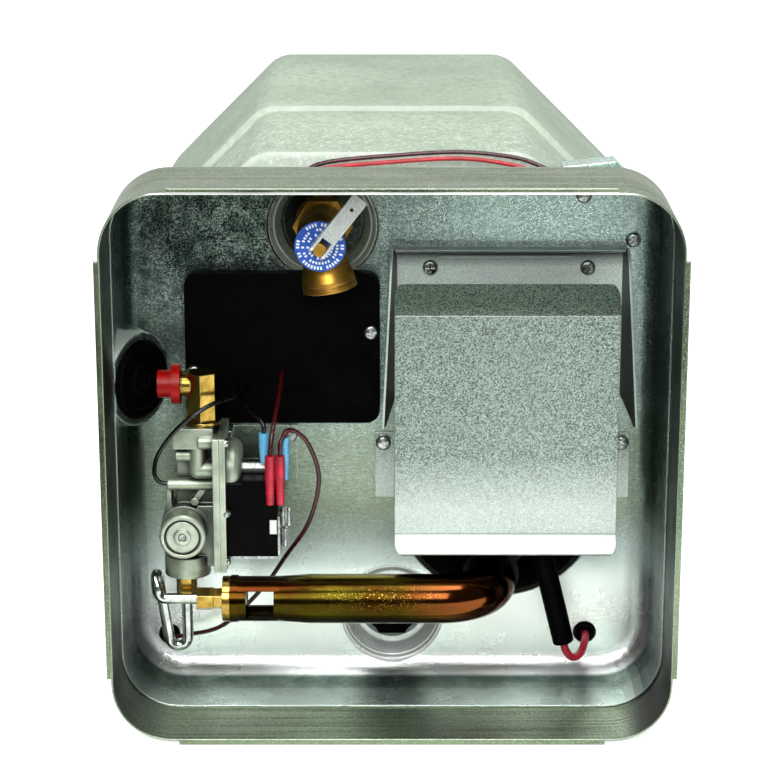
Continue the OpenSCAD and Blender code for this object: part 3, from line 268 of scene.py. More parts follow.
red_lead = insulation("red_lead", "c21522", "8c0d18", 0.32)
maroon_lead = insulation("maroon_lead", "4c0c12", "240508", 0.18)
black_lead = insulation("black_lead", "070708", "030303", 0.2)
spark_rubber = insulation("spark_cable_rubber", "c4203a", "8e0f22", 0.34)
lead("spark_cable", [(99.6, 32.4, -118), (101, 32, -124), (103, 31, -131), (107, 28, -136), (112, 22, -136),
                     (115, 14, -132), (116, 6, -131), (116, -8, -131)],
     cable_d, "spark_wire", spark_rubber)
lead("pan_loop_lead", [(-63.6, 56, -1.5), (-62.9, 55, 6.3), (-57.5, 50, 11.5), (-48, 45, 2), (-42, 42, -20),
                       (-48, 36, -48), (-62, 28, -72), (-76, 22, -94), (-100, 16, -120), (-122, 12, -128),
                       (-133, 6, -131.6), (-134, 0, -132), (-134, -10, -132)],
     wire_d, "wire_loop", maroon_lead)
lead("thermostat_lead", [(-64, 2, 34), (-64, 13, 33), (-65, 30, 25.3), (-67.5, 50, 13.3), (-69.5, 56, -1.5)],
     wire_d, "thermostat_wire", maroon_lead)
lead("limit_lead", [(-90, 2, 26), (-89, 14, 25), (-84, 30, 20.5), (-76.5, 44, 17.3), (-73, 48, 13.3),
                    (-73, 48, 9.5)],
     wire_d, "limit_wire", black_lead)
lead("ground_lead", [(-84, 2, 26), (-84, 16, 26), (-90, 38, 28), (-104, 55, 27), (-120, 58, 16),
                     (-132, 55, 0), (-136, 47, -14), (-133.9, 44, -21), (-129.2, 43.6, -22.5)],
     wire_d, "ground_wire", black_lead)
lead("upper_top_lead", [(-62, -16.4, 135), (-52, -16, 146), (-38, -16, 153), (0, -16, 157), (40, -16, 159),
                        (72, -14, 156), (90, -11, 150), (97.8, -11, 149)],
     wire_d, "top_wire_red", maroon_lead)
lead("lower_top_lead", [(-66, -12.6, 133), (-56, -12, 143), (-40, -12, 150), (0, -12, 154), (40, -12, 156),
                        (72, -10, 152), (90, -7, 145), (97.8, -7, 144)],
     wire_d, "top_wire_black", red_lead)

# Foam shell: two moulded halves of bead foam round the tank, pale and slightly green, with a white pad
# between the tank and the pan. The beads show as shallow cells with painted glints on the front section,
# and the ridges of the mould carry a painted highlight.
bead_scale = 260.0
glint_scale = 700.0
glint_y = (0.02, -0.06)
fore_end_y = (-0.122, -0.132)
ridge_r = 0.006
edge_samples = 6


def dress(material, *names):
    for name in names:
        nodes[name].data.materials.clear()
        nodes[name].data.materials.append(material)


def outward(tree):
    return put(tree, "NewGeometry").outputs["Normal"]


def laid_over(tree, mask, share, skin, code):
    return between(tree, both(tree, mask, share), skin, hue(code))


# Mask for a painted highlight along the edges of a piece, and a rounded normal there
painted_edge_highlight, given, end = finish_group("painted_edge_highlight", [("Radius", "Float", 0.001)],
                                     [("Mask", "Float"), ("Normal", "Vector")])
rounded = put(painted_edge_highlight, "Bevel", {"Radius": given["Radius"]}, samples=edge_samples).outputs[0]
turn = put(painted_edge_highlight, "VectorMath", {0: rounded, 1: outward(painted_edge_highlight)}, operation="DOT_PRODUCT")
painted_edge_highlight.links.new(window(painted_edge_highlight, turn.outputs["Value"], 0.99, 0.8), end["Mask"])
painted_edge_highlight.links.new(rounded, end["Normal"])

foam, tree, shader, coords = surface("bead_foam", 0, 0.55, 0.4)
beads = put(tree, "TexVoronoi", {"Vector": coords, "Scale": bead_scale, "Randomness": 1.0},
            feature="SMOOTH_F1").outputs["Distance"]
glints = put(tree, "TexVoronoi", {"Vector": coords, "Scale": glint_scale}).outputs["Color"]
glint = put(tree, "SeparateColor", {0: glints}).outputs[0]
cloud = clouds(tree, coords, 7.0)
ridge = use(tree, painted_edge_highlight, {"Radius": ridge_r})
back_way = axes(tree, coords)["Y"]
pale = between(tree, cloud, hue("8f9e8a"), hue("c0cdb9"))
pale = between(tree, window(tree, beads, 0.1, 0.9, 0, 0.75), pale, hue("7a8976"))
# Painted glints: pale specks on the front section
painted_glint = both(tree, window(tree, glint, 0.86, 0.95), window(tree, back_way, *glint_y))
pale = laid_over(tree, painted_glint, 0.5, pale, "e6eae0")
pale = laid_over(tree, window(tree, back_way, *fore_end_y), 0.85, pale, "f6f8f4")
# Painted highlight: the mould's ridges are paler
pale = laid_over(tree, ridge["Mask"], 0.7, pale, "d9ded2")
colour(tree, shader, pale)
polish(tree, shader, painted_glint, 0.6, 0.3)
relief(tree, shader, beads, 0.0005, 0.45, ridge["Normal"])
dress(foam, "foam_upper", "foam_lower")

pad, tree, shader, coords, fluff = clouded("white_pad", (0, 0.8, 0.3), 120.0, "dedfda", "f6f6f2")
relief(tree, shader, fluff, 0.0006)
dress(pad, "front_insulation")

enamel = clouded("tank_enamel", (0.3, 0.4), 14.0, "c2c0b8", "dcdad2")[0]
dress(enamel, "tank_shell")

# Collar: a band of rolled sheet round the front with hems turned outward. The mill finish runs round the
# band in fine streaks. Painted shade darkens its inner sides, and the top hem's front strip and the edges
# carry a painted highlight.
streak_scale = (7, 420, 7)
shaded_right_x = (0.1, 0.14)
hem_from_z = (0.3184, 0.3186)
hem_to_z = (0.3202, 0.3199)
rolled, tree, shader, coords = surface("rolled_collar", 0.95, 0.36)
streak_laid = put(tree, "Mapping", {"Vector": coords, "Scale": streak_scale}).outputs[0]
streak = noise(tree, streak_laid, 1.0, Detail=5.0)
cloud = clouds(tree, coords, 34.0)
edge = use(tree, painted_edge_highlight, {"Radius": 0.0012})
skin = between(tree, window(tree, streak, 0.36, 0.64), hue("414d39"), hue("829375"))
skin = between(tree, window(tree, cloud, 0, 1, 0, 0.4), skin, hue("525a4b"))
fleck = noise(tree, coords, 1100.0, Detail=2.0)
skin = between(tree, window(tree, fleck, 0.5, 0.7, 0, 0.55), skin, hue("bccdae"))
facing = axes(tree, outward(tree))
place = axes(tree, coords)
# Painted shade: inner side faces darkened, almost black on the right
painted_inner_shade = window(tree, both(tree, facing["X"], place["X"]), -0.02, -0.12)
skin = laid_over(tree, painted_inner_shade, 0.75, skin, "1c231f")
skin = laid_over(tree, painted_inner_shade, window(tree, place["X"], *shaded_right_x, 0, 0.85), skin, "060907")
# Painted highlight: a near-white strip along the top hem's front face
painted_hem_highlight = both(tree, window(tree, facing["Y"], -0.8, -0.95), window(tree, place["Z"], *hem_from_z))
skin = laid_over(tree, painted_hem_highlight, window(tree, place["Z"], *hem_to_z), skin, "f4f6f2")
# Painted highlight along the edges
skin = laid_over(tree, edge["Mask"], 0.45, skin, "dfe4da")
colour(tree, shader, skin)
polish(tree, shader, cloud, 0.46, 0.3)
relief(tree, shader, streak, 0.00008, 0.5, edge["Normal"])
dress(rolled, "pan_collar")

# Control pan: one deep drawing of zinc-coated steel pressed into the collar, with a dished port for the
# relief valve, another for the anode plug and a slanted pocket for the gas line. The zinc keeps its fine
# crystals. Painted shade darkens its upper left, its side walls, its port wells and the back of its floor;
# painted light brightens its lower wall, its port rims and the pocket's rim, and an olive band across the
# wall is a painted reflection.
crystal_scale = 1250.0
grit_scale = 1700.0
hairline_turns = (0.4, 1.3, 2.3)
hairline_scale = (130, 130, 1900)
smear_scale = (60, 60, 9)
dark_upper_z = (0.15, 0.26)
dark_upper_x = (0.06, -0.06)
bright_low_z = (0.112, 0.06)
side_wall_x = (0.138, 0.147)
waist_top_z = (0.185, 0.15)
waist_foot_z = (0.085, 0.108)
low_wall_z = (0.075, 0.045)
low_wall_y = (-0.159, -0.155)
floor_z = (0.034, 0.026)
floor_y = (-0.155, -0.159)
floor_shade_z = (0.032, 0.024)
floor_shade_front_y = (-0.202, -0.164)
matte_top_z = (0.118, 0.098)
matte_foot_z = (0.066, 0.078)
relief_port = (-0.040, 0, 0.280)
anode_port = (0.0, 0, 0.042)
port_rim_r = (0.0312, 0.0302)
port_blur = 0.001
pocket_at = (-0.144, -0.1785, 0.1977)
pocket_inner_r = (0.025, 0.0275)
pocket_outer_r = (0.037, 0.030)

# Tone of the zinc crystals, broken up by a fine grit
spangle, given, end = finish_group("spangle", [("Vector", "Vector", None), ("Scale", "Float", 300.0)],
                                   [("Tone", "Float")])
crystals = put(spangle, "TexVoronoi", {"Vector": given["Vector"], "Scale": given["Scale"]}).outputs["Color"]
crystal_tone = put(spangle, "SeparateColor", {0: crystals}).outputs[0]
grit = window(spangle, noise(spangle, given["Vector"], grit_scale, Detail=2.0), 0.35, 0.65)
spangle.links.new(between(spangle, 0.4, crystal_tone, grit), end["Tone"])

# Thin scratches in three directions
hairlines, given, end = finish_group("hairlines", [("Vector", "Vector", None)], [("Mask", "Float")])
lines = None
for turned in hairline_turns:
    laid = put(hairlines, "Mapping", {"Vector": given["Vector"], "Rotation": (0, turned, 0),
                                      "Scale": hairline_scale}).outputs[0]
    line = window(hairlines, noise(hairlines, laid, 1.0, Detail=1.0), 0.62, 0.72)
    lines = line if lines is None else sums(hairlines, "MAXIMUM", lines, line)
hairlines.links.new(lines, end["Mask"])

zinc, tree, shader, coords = surface("galvanised_sheet", 0.95, 0.3)
grain = use(tree, spangle, {"Vector": coords, "Scale": crystal_scale})["Tone"]
cloud = clouds(tree, coords, 22.0, Detail=6.0)
smear_laid = put(tree, "Mapping", {"Vector": coords, "Scale": smear_scale}).outputs[0]
smear = clouds(tree, smear_laid, 1.0, Detail=4.0)
edge = use(tree, painted_edge_highlight, {"Radius": 0.0015})
place = axes(tree, coords)
to_mouth = put(tree, "VectorMath", {0: (0, front_y, axis_z), 1: coords}, operation="SUBTRACT")
facing_mouth = put(tree, "VectorMath", {0: to_mouth.outputs["Vector"], 1: outward(tree)},
                   operation="DOT_PRODUCT")
inside = window(tree, facing_mouth.outputs["Value"], -0.004, 0.004)
# Painted shade: the upper left of the inner walls is darkened, nearly to black in the dark grains
painted_dark_upper = both(tree, window(tree, place["Z"], *dark_upper_z), window(tree, place["X"], *dark_upper_x))
painted_dark_upper = both(tree, painted_dark_upper, inside)
# Painted light: dark grains on the lower inner wall are brightened to near white
painted_bright_low = both(tree, window(tree, place["Z"], *bright_low_z), inside)
# Painted shade: the inner side walls are darkened
painted_side_wall_shade = both(tree, window(tree, sums(tree, "ABSOLUTE", place["X"]), *side_wall_x), inside)
# Painted shade: a dark band at the back of the pan's floor, fading towards the front
painted_floor_shade = both(tree, window(tree, place["Y"], *floor_y), window(tree, place["Y"], *floor_shade_front_y))
painted_floor_shade = both(tree, window(tree, place["Z"], *floor_shade_z), painted_floor_shade)
blotch = window(tree, clouds(tree, coords, 95.0, Detail=5.0), 0.25, 0.85)
deep = between(tree, painted_dark_upper, hue("8da79d"), between(tree, blotch, hue("050a08"), hue("26352e")))
deep = between(tree, painted_bright_low, deep, hue("e9f6f0"))
deep = laid_over(tree, painted_floor_shade, 0.85, deep, "34483f")
lit = between(tree, painted_dark_upper, hue("e0f2ea"), between(tree, blotch, hue("6a7f74"), hue("bacdc3")))
skin = between(tree, window(tree, grain, 0.42, 0.8), deep, lit)
skin = between(tree, window(tree, cloud, 0, 1, 0.0, 0.35), skin, deep)
skin = between(tree, window(tree, smear, 0.5, 1, 0.0, 0.2), skin, lit)
# Painted reflection: an olive band across the middle of the wall
painted_reflection_band = both(tree, window(tree, place["Z"], *waist_top_z), window(tree, place["Z"], *waist_foot_z))
skin = laid_over(tree, painted_reflection_band, 0.75, skin, "808c72")
scratched = use(tree, hairlines, {"Vector": coords})["Mask"]
skin = between(tree, both(tree, scratched, 0.35), skin, lit)
# Painted light: the lowest part of the inner wall is painted white
painted_low_wall_light = both(tree, window(tree, place["Z"], *low_wall_z, 0, 0.85), window(tree, place["Y"], *low_wall_y))
skin = laid_over(tree, painted_low_wall_light, inside, skin, "ffffff")
matte = both(tree, window(tree, place["Z"], *matte_top_z), window(tree, place["Z"], *matte_foot_z))
on_wall = put(tree, "CombineXYZ", {0: place["X"], 2: place["Z"]}).outputs[0]
# Painted highlight on a ring round each port's mouth, and painted shade inside its well
for port, well_r, rim_highlight_code in ((relief_port, 0.0235, "b4c2b9"), (anode_port, 0.0205, "f4f8f5")):
    from_port = put(tree, "VectorMath", {0: on_wall, 1: port}, operation="DISTANCE").outputs["Value"]
    painted_port_highlight = both(tree, window(tree, from_port, well_r, well_r + port_blur),
                     window(tree, from_port, *port_rim_r, 0, 0.75))
    painted_well_shade = window(tree, from_port, well_r, well_r - port_blur, 0, 0.85)
    skin = between(tree, painted_port_highlight, skin, hue(rim_highlight_code))
    skin = between(tree, painted_well_shade, skin, hue("070a08"))
    matte = sums(tree, "MAXIMUM", matte, painted_port_highlight)
# Painted highlight: a pale, puckered ring round the gas-line pocket
from_pocket = put(tree, "VectorMath", {0: coords, 1: pocket_at}, operation="DISTANCE").outputs["Value"]
pucker = window(tree, clouds(tree, coords, 60.0, Detail=2.0), 0.35, 0.6, 0, 0.85)
painted_pocket_highlight = both(tree, window(tree, from_pocket, *pocket_inner_r), window(tree, from_pocket, *pocket_outer_r))
painted_pocket_highlight = both(tree, painted_pocket_highlight, pucker)
skin = between(tree, painted_pocket_highlight, skin, hue("e4eee8"))
matte = sums(tree, "MAXIMUM", matte, painted_pocket_highlight)
pan_floor = both(tree, window(tree, place["Z"], *floor_z), window(tree, place["Y"], *floor_y))
skin = laid_over(tree, pan_floor, 0.6, skin, "7f998c")
# Painted shade on the side walls, laid over the rest
skin = laid_over(tree, painted_side_wall_shade, 0.65, skin, "2a3b34")
# Painted shade at the back of the floor again, varied by the smears
skin = laid_over(tree, painted_floor_shade, window(tree, smear, 0.2, 0.8, 0.95, 0.7), skin, "30443b")
# Painted highlight along the edges
skin = laid_over(tree, edge["Mask"], 0.6, skin, "eef1ee")
colour(tree, shader, skin)
tree.links.new(window(tree, matte, 0, 1, 0.95, 0.35), shader.inputs["Metallic"])
polish(tree, shader, cloud, 0.36, 0.2)
relief(tree, shader, grain, 0.00016, 0.8, edge["Normal"])
dress(zinc, "front_pan", "module_cover", "valve_bracket")

# Screws: zinc-plated steel with a rounded pan head and a cross recess, driven through the sheet into the
# tank's front pad.
shank_r = 0.0019
head_r = 0.0045
head_h = 0.0028
cross = (0, math.pi / 2)
cross_slot = (0.0056, 0.0012, 0.003)
screw_turn = 0.7


def finish_with_edge_highlight(name, base, scale, low, high, edge_r, edge_highlight_share, edge_highlight_code, **extra):
    made, tree, shader, coords = surface(name, *base)
    tone = clouds(tree, coords, scale, **extra)
    edge = use(tree, painted_edge_highlight, {"Radius": edge_r})
    skin = between(tree, tone, hue(low), hue(high))
    # Edges lightened towards the given colour: a painted highlight
    colour(tree, shader, laid_over(tree, edge["Mask"], edge_highlight_share, skin, edge_highlight_code))
    return made, tree, shader, coords, tone, edge


def lathe(name, profile, material, sides=32, ring=False):
    bpy.ops.object.select_all(action="DESELECT")
    radius, height = profile[0]
    bpy.ops.mesh.primitive_circle_add(vertices=sides, radius=radius, fill_type="NOTHING" if ring else "NGON")
    piece = bpy.context.object
    piece.name = piece.data.name = name
    bpy.ops.object.mode_set(mode="EDIT")
    bpy.ops.transform.translate(value=(0, 0, height))
    for wide, high in profile[1:]:
        bpy.ops.mesh.extrude_region_move(TRANSFORM_OT_translate={"value": (0, 0, high - height)})
        bpy.ops.transform.resize(value=(wide / radius, wide / radius, 1), center_override=(0, 0, high))
        radius, height = wide, high
    bpy.ops.mesh.select_all(action="SELECT")
    bpy.ops.mesh.remove_doubles(threshold=0.000001)
    bpy.ops.mesh.normals_make_consistent(inside=False)
    bpy.ops.object.mode_set(mode="OBJECT")
    bpy.ops.object.shade_smooth_by_angle(angle=math.radians(40))
    piece.data.materials.append(material)
    return piece


def recess(piece, turns, size, top):
    for angle in turns:
        bpy.ops.object.select_all(action="DESELECT")
        bpy.ops.mesh.primitive_cube_add(size=1, location=(0, 0, top), rotation=(0, 0, angle))
        cutter = bpy.context.object
        cutter.scale = size
        bpy.ops.object.transform_apply(location=True, rotation=True, scale=True)
        cut = piece.modifiers.new("recess", "BOOLEAN")
        cut.object = cutter
        cut.operation = "DIFFERENCE"
        bpy.context.view_layer.objects.active = piece
        bpy.ops.object.modifier_apply(modifier="recess")
        bpy.data.objects.remove(cutter)


def set_out(name, pattern, places, heading, slot, *instead):
    bpy.ops.object.select_all(action="DESELECT")
    copies = []
    for number, place in enumerate(places):
        copy = pattern.copy()
        copy.data = pattern.data.copy()
        bpy.context.scene.collection.objects.link(copy)
        copy.location = spot(*place)
        copy.rotation_euler = heading(number)
        copy.select_set(True)
        copies.append(copy)
    bpy.context.view_layer.objects.active = copies[0]
    if len(copies) > 1:
        bpy.ops.object.join()
    bpy.ops.object.transform_apply(location=True, rotation=True, scale=True)
    piece = bpy.context.object
    piece.name = piece.data.name = name
    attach(piece, "heater")
    if instead:
        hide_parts(*instead)


def to_front(number):
    return (math.pi / 2, screw_turn * number, 0)


bright_zinc, tree, shader, coords, tone, edge = finish_with_edge_highlight(
    "bright_zinc", (1.0, 0.28), 300.0, "6d726e", "b4b9b5", 0.0003, 0.9, "fbfcfb")
polish(tree, shader, tone, 0.36, 0.2)
dress(bright_zinc, "lever_pin", "coil_stem", "coil_frame")
screw_head = lathe("screw_head", [(shank_r, -0.001), (shank_r, 0.0), (head_r, 0.0), (head_r, 0.0008),
                                  (0.0043, 0.0016), (0.0038, 0.0023), (0.0031, 0.0026), (0.0012, head_h)],
                   bright_zinc)
recess(screw_head, cross, cross_slot, head_h)
set_out("pan_screw_heads", screw_head,
        [(110, 0, 137), (139, 0, 111), (-12, 8, 58), (-115, 8, 34), (-60, 1.5, -6)],
        to_front, "fastener", "pan_screws")
set_out("flue_screw_heads", screw_head, [(22, 1.2, 95), (113, 1.2, 95), (-5, 1.2, -11), (135, 1.2, -11)],
        to_front, "fastener", "flue_screws")
bpy.data.objects.remove(screw_head)

# Port beads: the low rings that the draw tool leaves round the two dished ports, in the pan's own sheet.
# Each port has one at its mouth and one on the step inside it.
bead_half = 0.0009
bead_shoulder = 0.0007
bead_h = 0.0008
bead_sides = 72
for bead_name, bead_place, bead_r in (("relief_port_bead", (-40, -1.6, 119), 0.0311),
                                      ("relief_port_step", (-40, -4.9, 119), 0.0283),
                                      ("anode_port_bead", (0, -1.6, -119), 0.0296),
                                      ("anode_port_step", (0, -4.9, -119), 0.0283)):
    bead = lathe(bead_name + "_form", [(bead_r + bead_half, -0.0006), (bead_r + bead_shoulder, 0.0004),
                                       (bead_r, bead_h), (bead_r - bead_shoulder, 0.0004),
                                       (bead_r - bead_half, -0.0006)], zinc, bead_sides, True)
    set_out(bead_name, bead, [bead_place], to_front, "galvanised")
    bpy.data.objects.remove(bead)

# Relief valve: a machined bronze body screwed into the tank, with a round plate that carries rings of
# printed ticks, a bright lever on a pin and a stem that the lever lifts.
tick_rings = ((0.0124, 0.0010, 44), (0.0096, 0.0008, 34), (0.0068, 0.0008, 24))
tick_share = 0.6
tick_gaps = 0.25
bronze, tree, shader, coords, tone, edge = finish_with_edge_highlight(
    "valve_bronze", (1.0, 0.3), 90.0, "7e541a", "d6a546", 0.0006, 0.6, "f0cf8a", Detail=6.0)
polish(tree, shader, tone, 0.52, 0.34)
relief(tree, shader, noise(tree, coords, 700.0), 0.00008, 0.4, edge["Normal"])
dress(bronze, "relief_valve_body", "relief_stem")

tag_blue, tree, shader, coords = surface("tag_blue", 0.0, 0.35)
tone = clouds(tree, coords, 200.0)
to_centre = [-part for part in relief_port]
across = axes(tree, put(tree, "Mapping", {"Vector": coords, "Location": to_centre}).outputs[0])
out_squared = sums(tree, "ADD", sums(tree, "POWER", across["X"], 2.0), sums(tree, "POWER", across["Z"], 2.0))
out = sums(tree, "SQRT", out_squared)
round_way = window(tree, sums(tree, "ARCTAN2", across["Z"], across["X"]), -math.pi, math.pi)
skin = between(tree, tone, hue("12409c"), hue("2a5cb8"))
for ring_r, ring_half, ring_count in tick_rings:
    step = both(tree, round_way, ring_count)
    chance = put(tree, "TexWhiteNoise", {"W": sums(tree, "FLOOR", step)}, noise_dimensions="1D").outputs[0]
    tick = both(tree, sums(tree, "LESS_THAN", sums(tree, "FRACT", step), tick_share),
                sums(tree, "GREATER_THAN", chance, tick_gaps))
    off_ring = sums(tree, "ABSOLUTE", sums(tree, "SUBTRACT", out, ring_r))
    band = window(tree, off_ring, ring_half, ring_half * 0.8)
    skin = laid_over(tree, tick, band, skin, "e8eef6")
colour(tree, shader, skin)
dress(tag_blue, "relief_tag_disc")

plated, tree, shader, coords, tone, edge = finish_with_edge_highlight(
    "plated_lever", (0.55, 0.3), 260.0, "c4c9c5", "f2f4f2", 0.0004, 0.7, "f6f7f5")
polish(tree, shader, tone, 0.36, 0.18)
relief(tree, shader, tone, 0.00004, 0.5, edge["Normal"])
dress(plated, "relief_lever")

# Thermostat corner: a moulded black rubber cover over the two disc switches on the tank. Grommets, the
# electrode's boot and the anode rod share its dull black.
rubber, tree, shader, coords, tone, edge = finish_with_edge_highlight(
    "black_rubber", (0, 0.55, 0.03), 70.0, "000000", "030303", 0.0008, 0.5, "202122")
polish(tree, shader, tone, 0.66, 0.42)
relief(tree, shader, noise(tree, coords, 800.0), 0.0001, 0.5, edge["Normal"])
dress(rubber, "cover_pad", "gas_grommet", "electrode_boot", "spark_grommet", "wire_grommet", "anode_rod")

switch_cup = clouded("switch_cup", (0.9, 0.35), 120.0, "8d7850", "c4ad7c")[0]
dress(switch_cup, "thermostat", "limit_switch")

# Flue box and deflector: folded aluminised sheet with sheared edges, matte and finely speckled, screwed to
# the pan over the flue. A thin baffle closes the box's back, and the flue itself is dark with heat and soot.
fold_z = 0.111
fold_half = (0.0007, 0.0004)
fold_blur = 0.0006
box_top_z = (0.256, 0.264)
bright_blur = 0.016
deflector_bright_z = 0.142
box_bright_z = 0.5
baffle_size = (0.078, 0.0003, 0.0322)
baffle_corner_r = 0.005
baffle_top_z = 0.09


def flue_metal(name, metallic, bright_below, edge_highlight_share, box_shading, lip_share=0.0):
    made, tree, shader, coords = surface(name, metallic, 0.4)
    grain = use(tree, spangle, {"Vector": coords, "Scale": 2000.0})["Tone"]
    cloud = clouds(tree, coords, 12.0, Detail=6.0)
    edge = use(tree, painted_edge_highlight, {"Radius": 0.0008})
    height = axes(tree, coords)["Z"]
    facing = axes(tree, outward(tree))
    # Painted light: on the box, faces towards the front get paler grains
    front = both(tree, window(tree, facing["Y"], -0.5, -0.9), box_shading)
    dark_grain = between(tree, front, hue("2f3c34"), hue("8fb0a4"))
    pale_grain = between(tree, front, hue("b3c4ba"), hue("f4fffb"))
    skin = between(tree, window(tree, grain, 0.28, 0.72), dark_grain, pale_grain)
    skin = between(tree, window(tree, cloud, 0, 1, 0, 0.4), skin, hue("85938a"))
    # Painted light: paler below a given height
    bright = window(tree, height, bright_below + bright_blur, bright_below - bright_blur, 0, 0.5)
    skin = between(tree, bright, skin, hue("dfe8e1"))
    lip = window(tree, height, fold_z, fold_z - fold_blur, 0, lip_share)
    skin = between(tree, lip, skin, hue("a9b6ae"))
    # Painted shade: a dark line along the fold of the deflector's lip
    off_fold = sums(tree, "ABSOLUTE", sums(tree, "SUBTRACT", height, fold_z))
    skin = between(tree, window(tree, off_fold, *fold_half, 0, lip_share), skin, hue("3e4942"))
    # Painted shade: the box's side walls and a band under its top are darkened
    shaded = sums(tree, "MAXIMUM", window(tree, sums(tree, "ABSOLUTE", facing["X"]), 0.5, 0.9),
                  window(tree, height, *box_top_z))
    skin = laid_over(tree, shaded, box_shading, skin, "10150f")
    # Painted highlight along the edges
    skin = laid_over(tree, edge["Mask"], edge_highlight_share, skin, "f2f4f1")
    colour(tree, shader, skin)
    polish(tree, shader, cloud, 0.46, 0.34)
    relief(tree, shader, grain, 0.0001, 0.7, edge["Normal"] if edge_highlight_share else None)
    return made


def thin_plate(name, place, size, material):
    bpy.ops.object.select_all(action="DESELECT")
    bpy.ops.mesh.primitive_cube_add(size=1, location=place)
    plate = bpy.context.object
    plate.name = plate.data.name = name
    plate.scale = size
    bpy.ops.object.transform_apply(location=True, rotation=True, scale=True)
    plate.data.materials.append(material)
    return plate


aluminised = flue_metal("aluminised_sheet", 0.95, deflector_bright_z, 0.85, 0.0, 0.6)
box_sheet = flue_metal("box_sheet", 0.35, box_bright_z, 0.85, 0.85)
plain_back = flue_metal("baffle_sheet", 0.35, box_bright_z, 0.0, 0.85)
dress(box_sheet, "flue_box")
dress(aluminised, "flue_deflector")

baffle = thin_plate("exhaust_baffle", spot(66, 1.4, 89.5), baffle_size, plain_back)
bpy.ops.object.mode_set(mode="EDIT")
bpy.ops.mesh.select_all(action="DESELECT")
bpy.ops.object.mode_set(mode="OBJECT")
for corner in baffle.data.edges:
    ends = [baffle.data.vertices[v].co for v in corner.vertices]
    corner.select = abs(ends[0].y - ends[1].y) > 0.0002 and ends[0].z > axis_z + baffle_top_z
bpy.ops.object.mode_set(mode="EDIT")
bpy.ops.mesh.select_mode(type="EDGE")
bpy.ops.mesh.bevel(offset=baffle_corner_r, segments=5, affect="EDGES")
bpy.ops.object.mode_set(mode="OBJECT")
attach(baffle, "heater")

sooty = clouded("flue_inside", (0.3, 0.75, 0.3), 40.0, "0c0c0b", "2e2b28")[0]
dress(sooty, "flue_burner_leg", "flue_exhaust_leg", "flue_return", "electrode_bracket")

# Gas valve: a die-cast body with a flange, a diaphragm dome and a round regulator cap, held together by
# small screws and hung on a sheet bracket.
crevice_reach = 0.011
flange_head_r = 0.0026
flange_head_h = 0.0024
flange_slot = (0.003, 0.0007, 0.002)
flange_turn = 0.9
adjuster_r = 0.0021
adjuster_h = 0.0016
adjuster_slot = (0.005, 0.0007, 0.0016)
small_sides = 24


def to_right(number):
    return (flange_turn * number, math.pi / 2, 0)


# Mask for painted shade in the corners that neighbouring faces shelter
painted_crevice_shade, given, end = finish_group("painted_crevice_shade", [("Reach", "Float", 0.006)], [("Mask", "Float")])
sheltered = put(painted_crevice_shade, "AmbientOcclusion", {"Distance": given["Reach"]}, samples=edge_samples,
                only_local=False).outputs["AO"]
painted_crevice_shade.links.new(window(painted_crevice_shade, sheltered, 0.95, 0.45), end["Mask"])

cast, tree, shader, coords = surface("die_cast", 0.75, 0.38)
tone = clouds(tree, coords, 60.0, Detail=5.0)
edge = use(tree, painted_edge_highlight, {"Radius": 0.0011})
painted_corner_shade = use(tree, painted_crevice_shade, {"Reach": crevice_reach})["Mask"]
skin = between(tree, tone, hue("87937f"), hue("c8d2bd"))
# Painted shade: sheltered corners darkened nearly to black
skin = laid_over(tree, painted_corner_shade, 0.9, skin, "060706")
# Painted highlight along the edges
skin = laid_over(tree, edge["Mask"], 0.6, skin, "eceee9")
colour(tree, shader, skin)
polish(tree, shader, tone, 0.48, 0.34)
relief(tree, shader, noise(tree, coords, 900.0, Detail=3.0), 0.0001, 0.5, edge["Normal"])
dress(cast, "gas_valve_body", "valve_flange", "valve_dome", "regulator_cap")
flange_screw = lathe("flange_screw", [(flange_head_r, 0.0), (flange_head_r, 0.0012), (0.0022, 0.002),
                                      (0.0012, flange_head_h)], bright_zinc, small_sides)
recess(flange_screw, cross, flange_slot, flange_head_h)
set_out("flange_screw_heads", flange_screw, [(-94.9, 54.5, 5), (-94.9, 54.5, -37), (-94.9, 54.5, -66)],
        to_right, "fastener")
bpy.data.objects.remove(flange_screw)
adjuster = lathe("adjuster", [(adjuster_r, 0.0), (adjuster_r, 0.0012), (0.0017, adjuster_h)],
                 bright_zinc, small_sides)
recess(adjuster, (0.6,), adjuster_slot, adjuster_h)
set_out("regulator_adjuster", adjuster, [(-119.5, 61.6, -48.7)], to_front, "fastener")
bpy.data.objects.remove(adjuster)

# Solenoid coil: black moulded resin over the winding, in a bright steel strap, with crimped sleeves on its
# blades. The blades are plates with rolled edges, and beside them is a small white patch.
blade_l = 0.0106
roll_out_r = 0.0013
roll_in_r = 0.0009
blade_size = (0.0042, 0.0008, blade_l)
patch_size = (0.004, 0.0005, 0.0084)


def upright(number):
    return (0, 0, 0)


def ease_edges(offset):
    bpy.ops.object.mode_set(mode="EDIT")
    bpy.ops.mesh.bevel(offset=offset, segments=2, affect="EDGES")
    bpy.ops.object.mode_set(mode="OBJECT")


resin, tree, shader, coords, tone, edge = finish_with_edge_highlight(
    "coil_resin", (0, 0.4, 0.04), 110.0, "000000", "040404", 0.0008, 0.5, "2c2d2e")
relief(tree, shader, tone, 0.00006, 0.5, edge["Normal"])
dress(resin, "solenoid_coil")

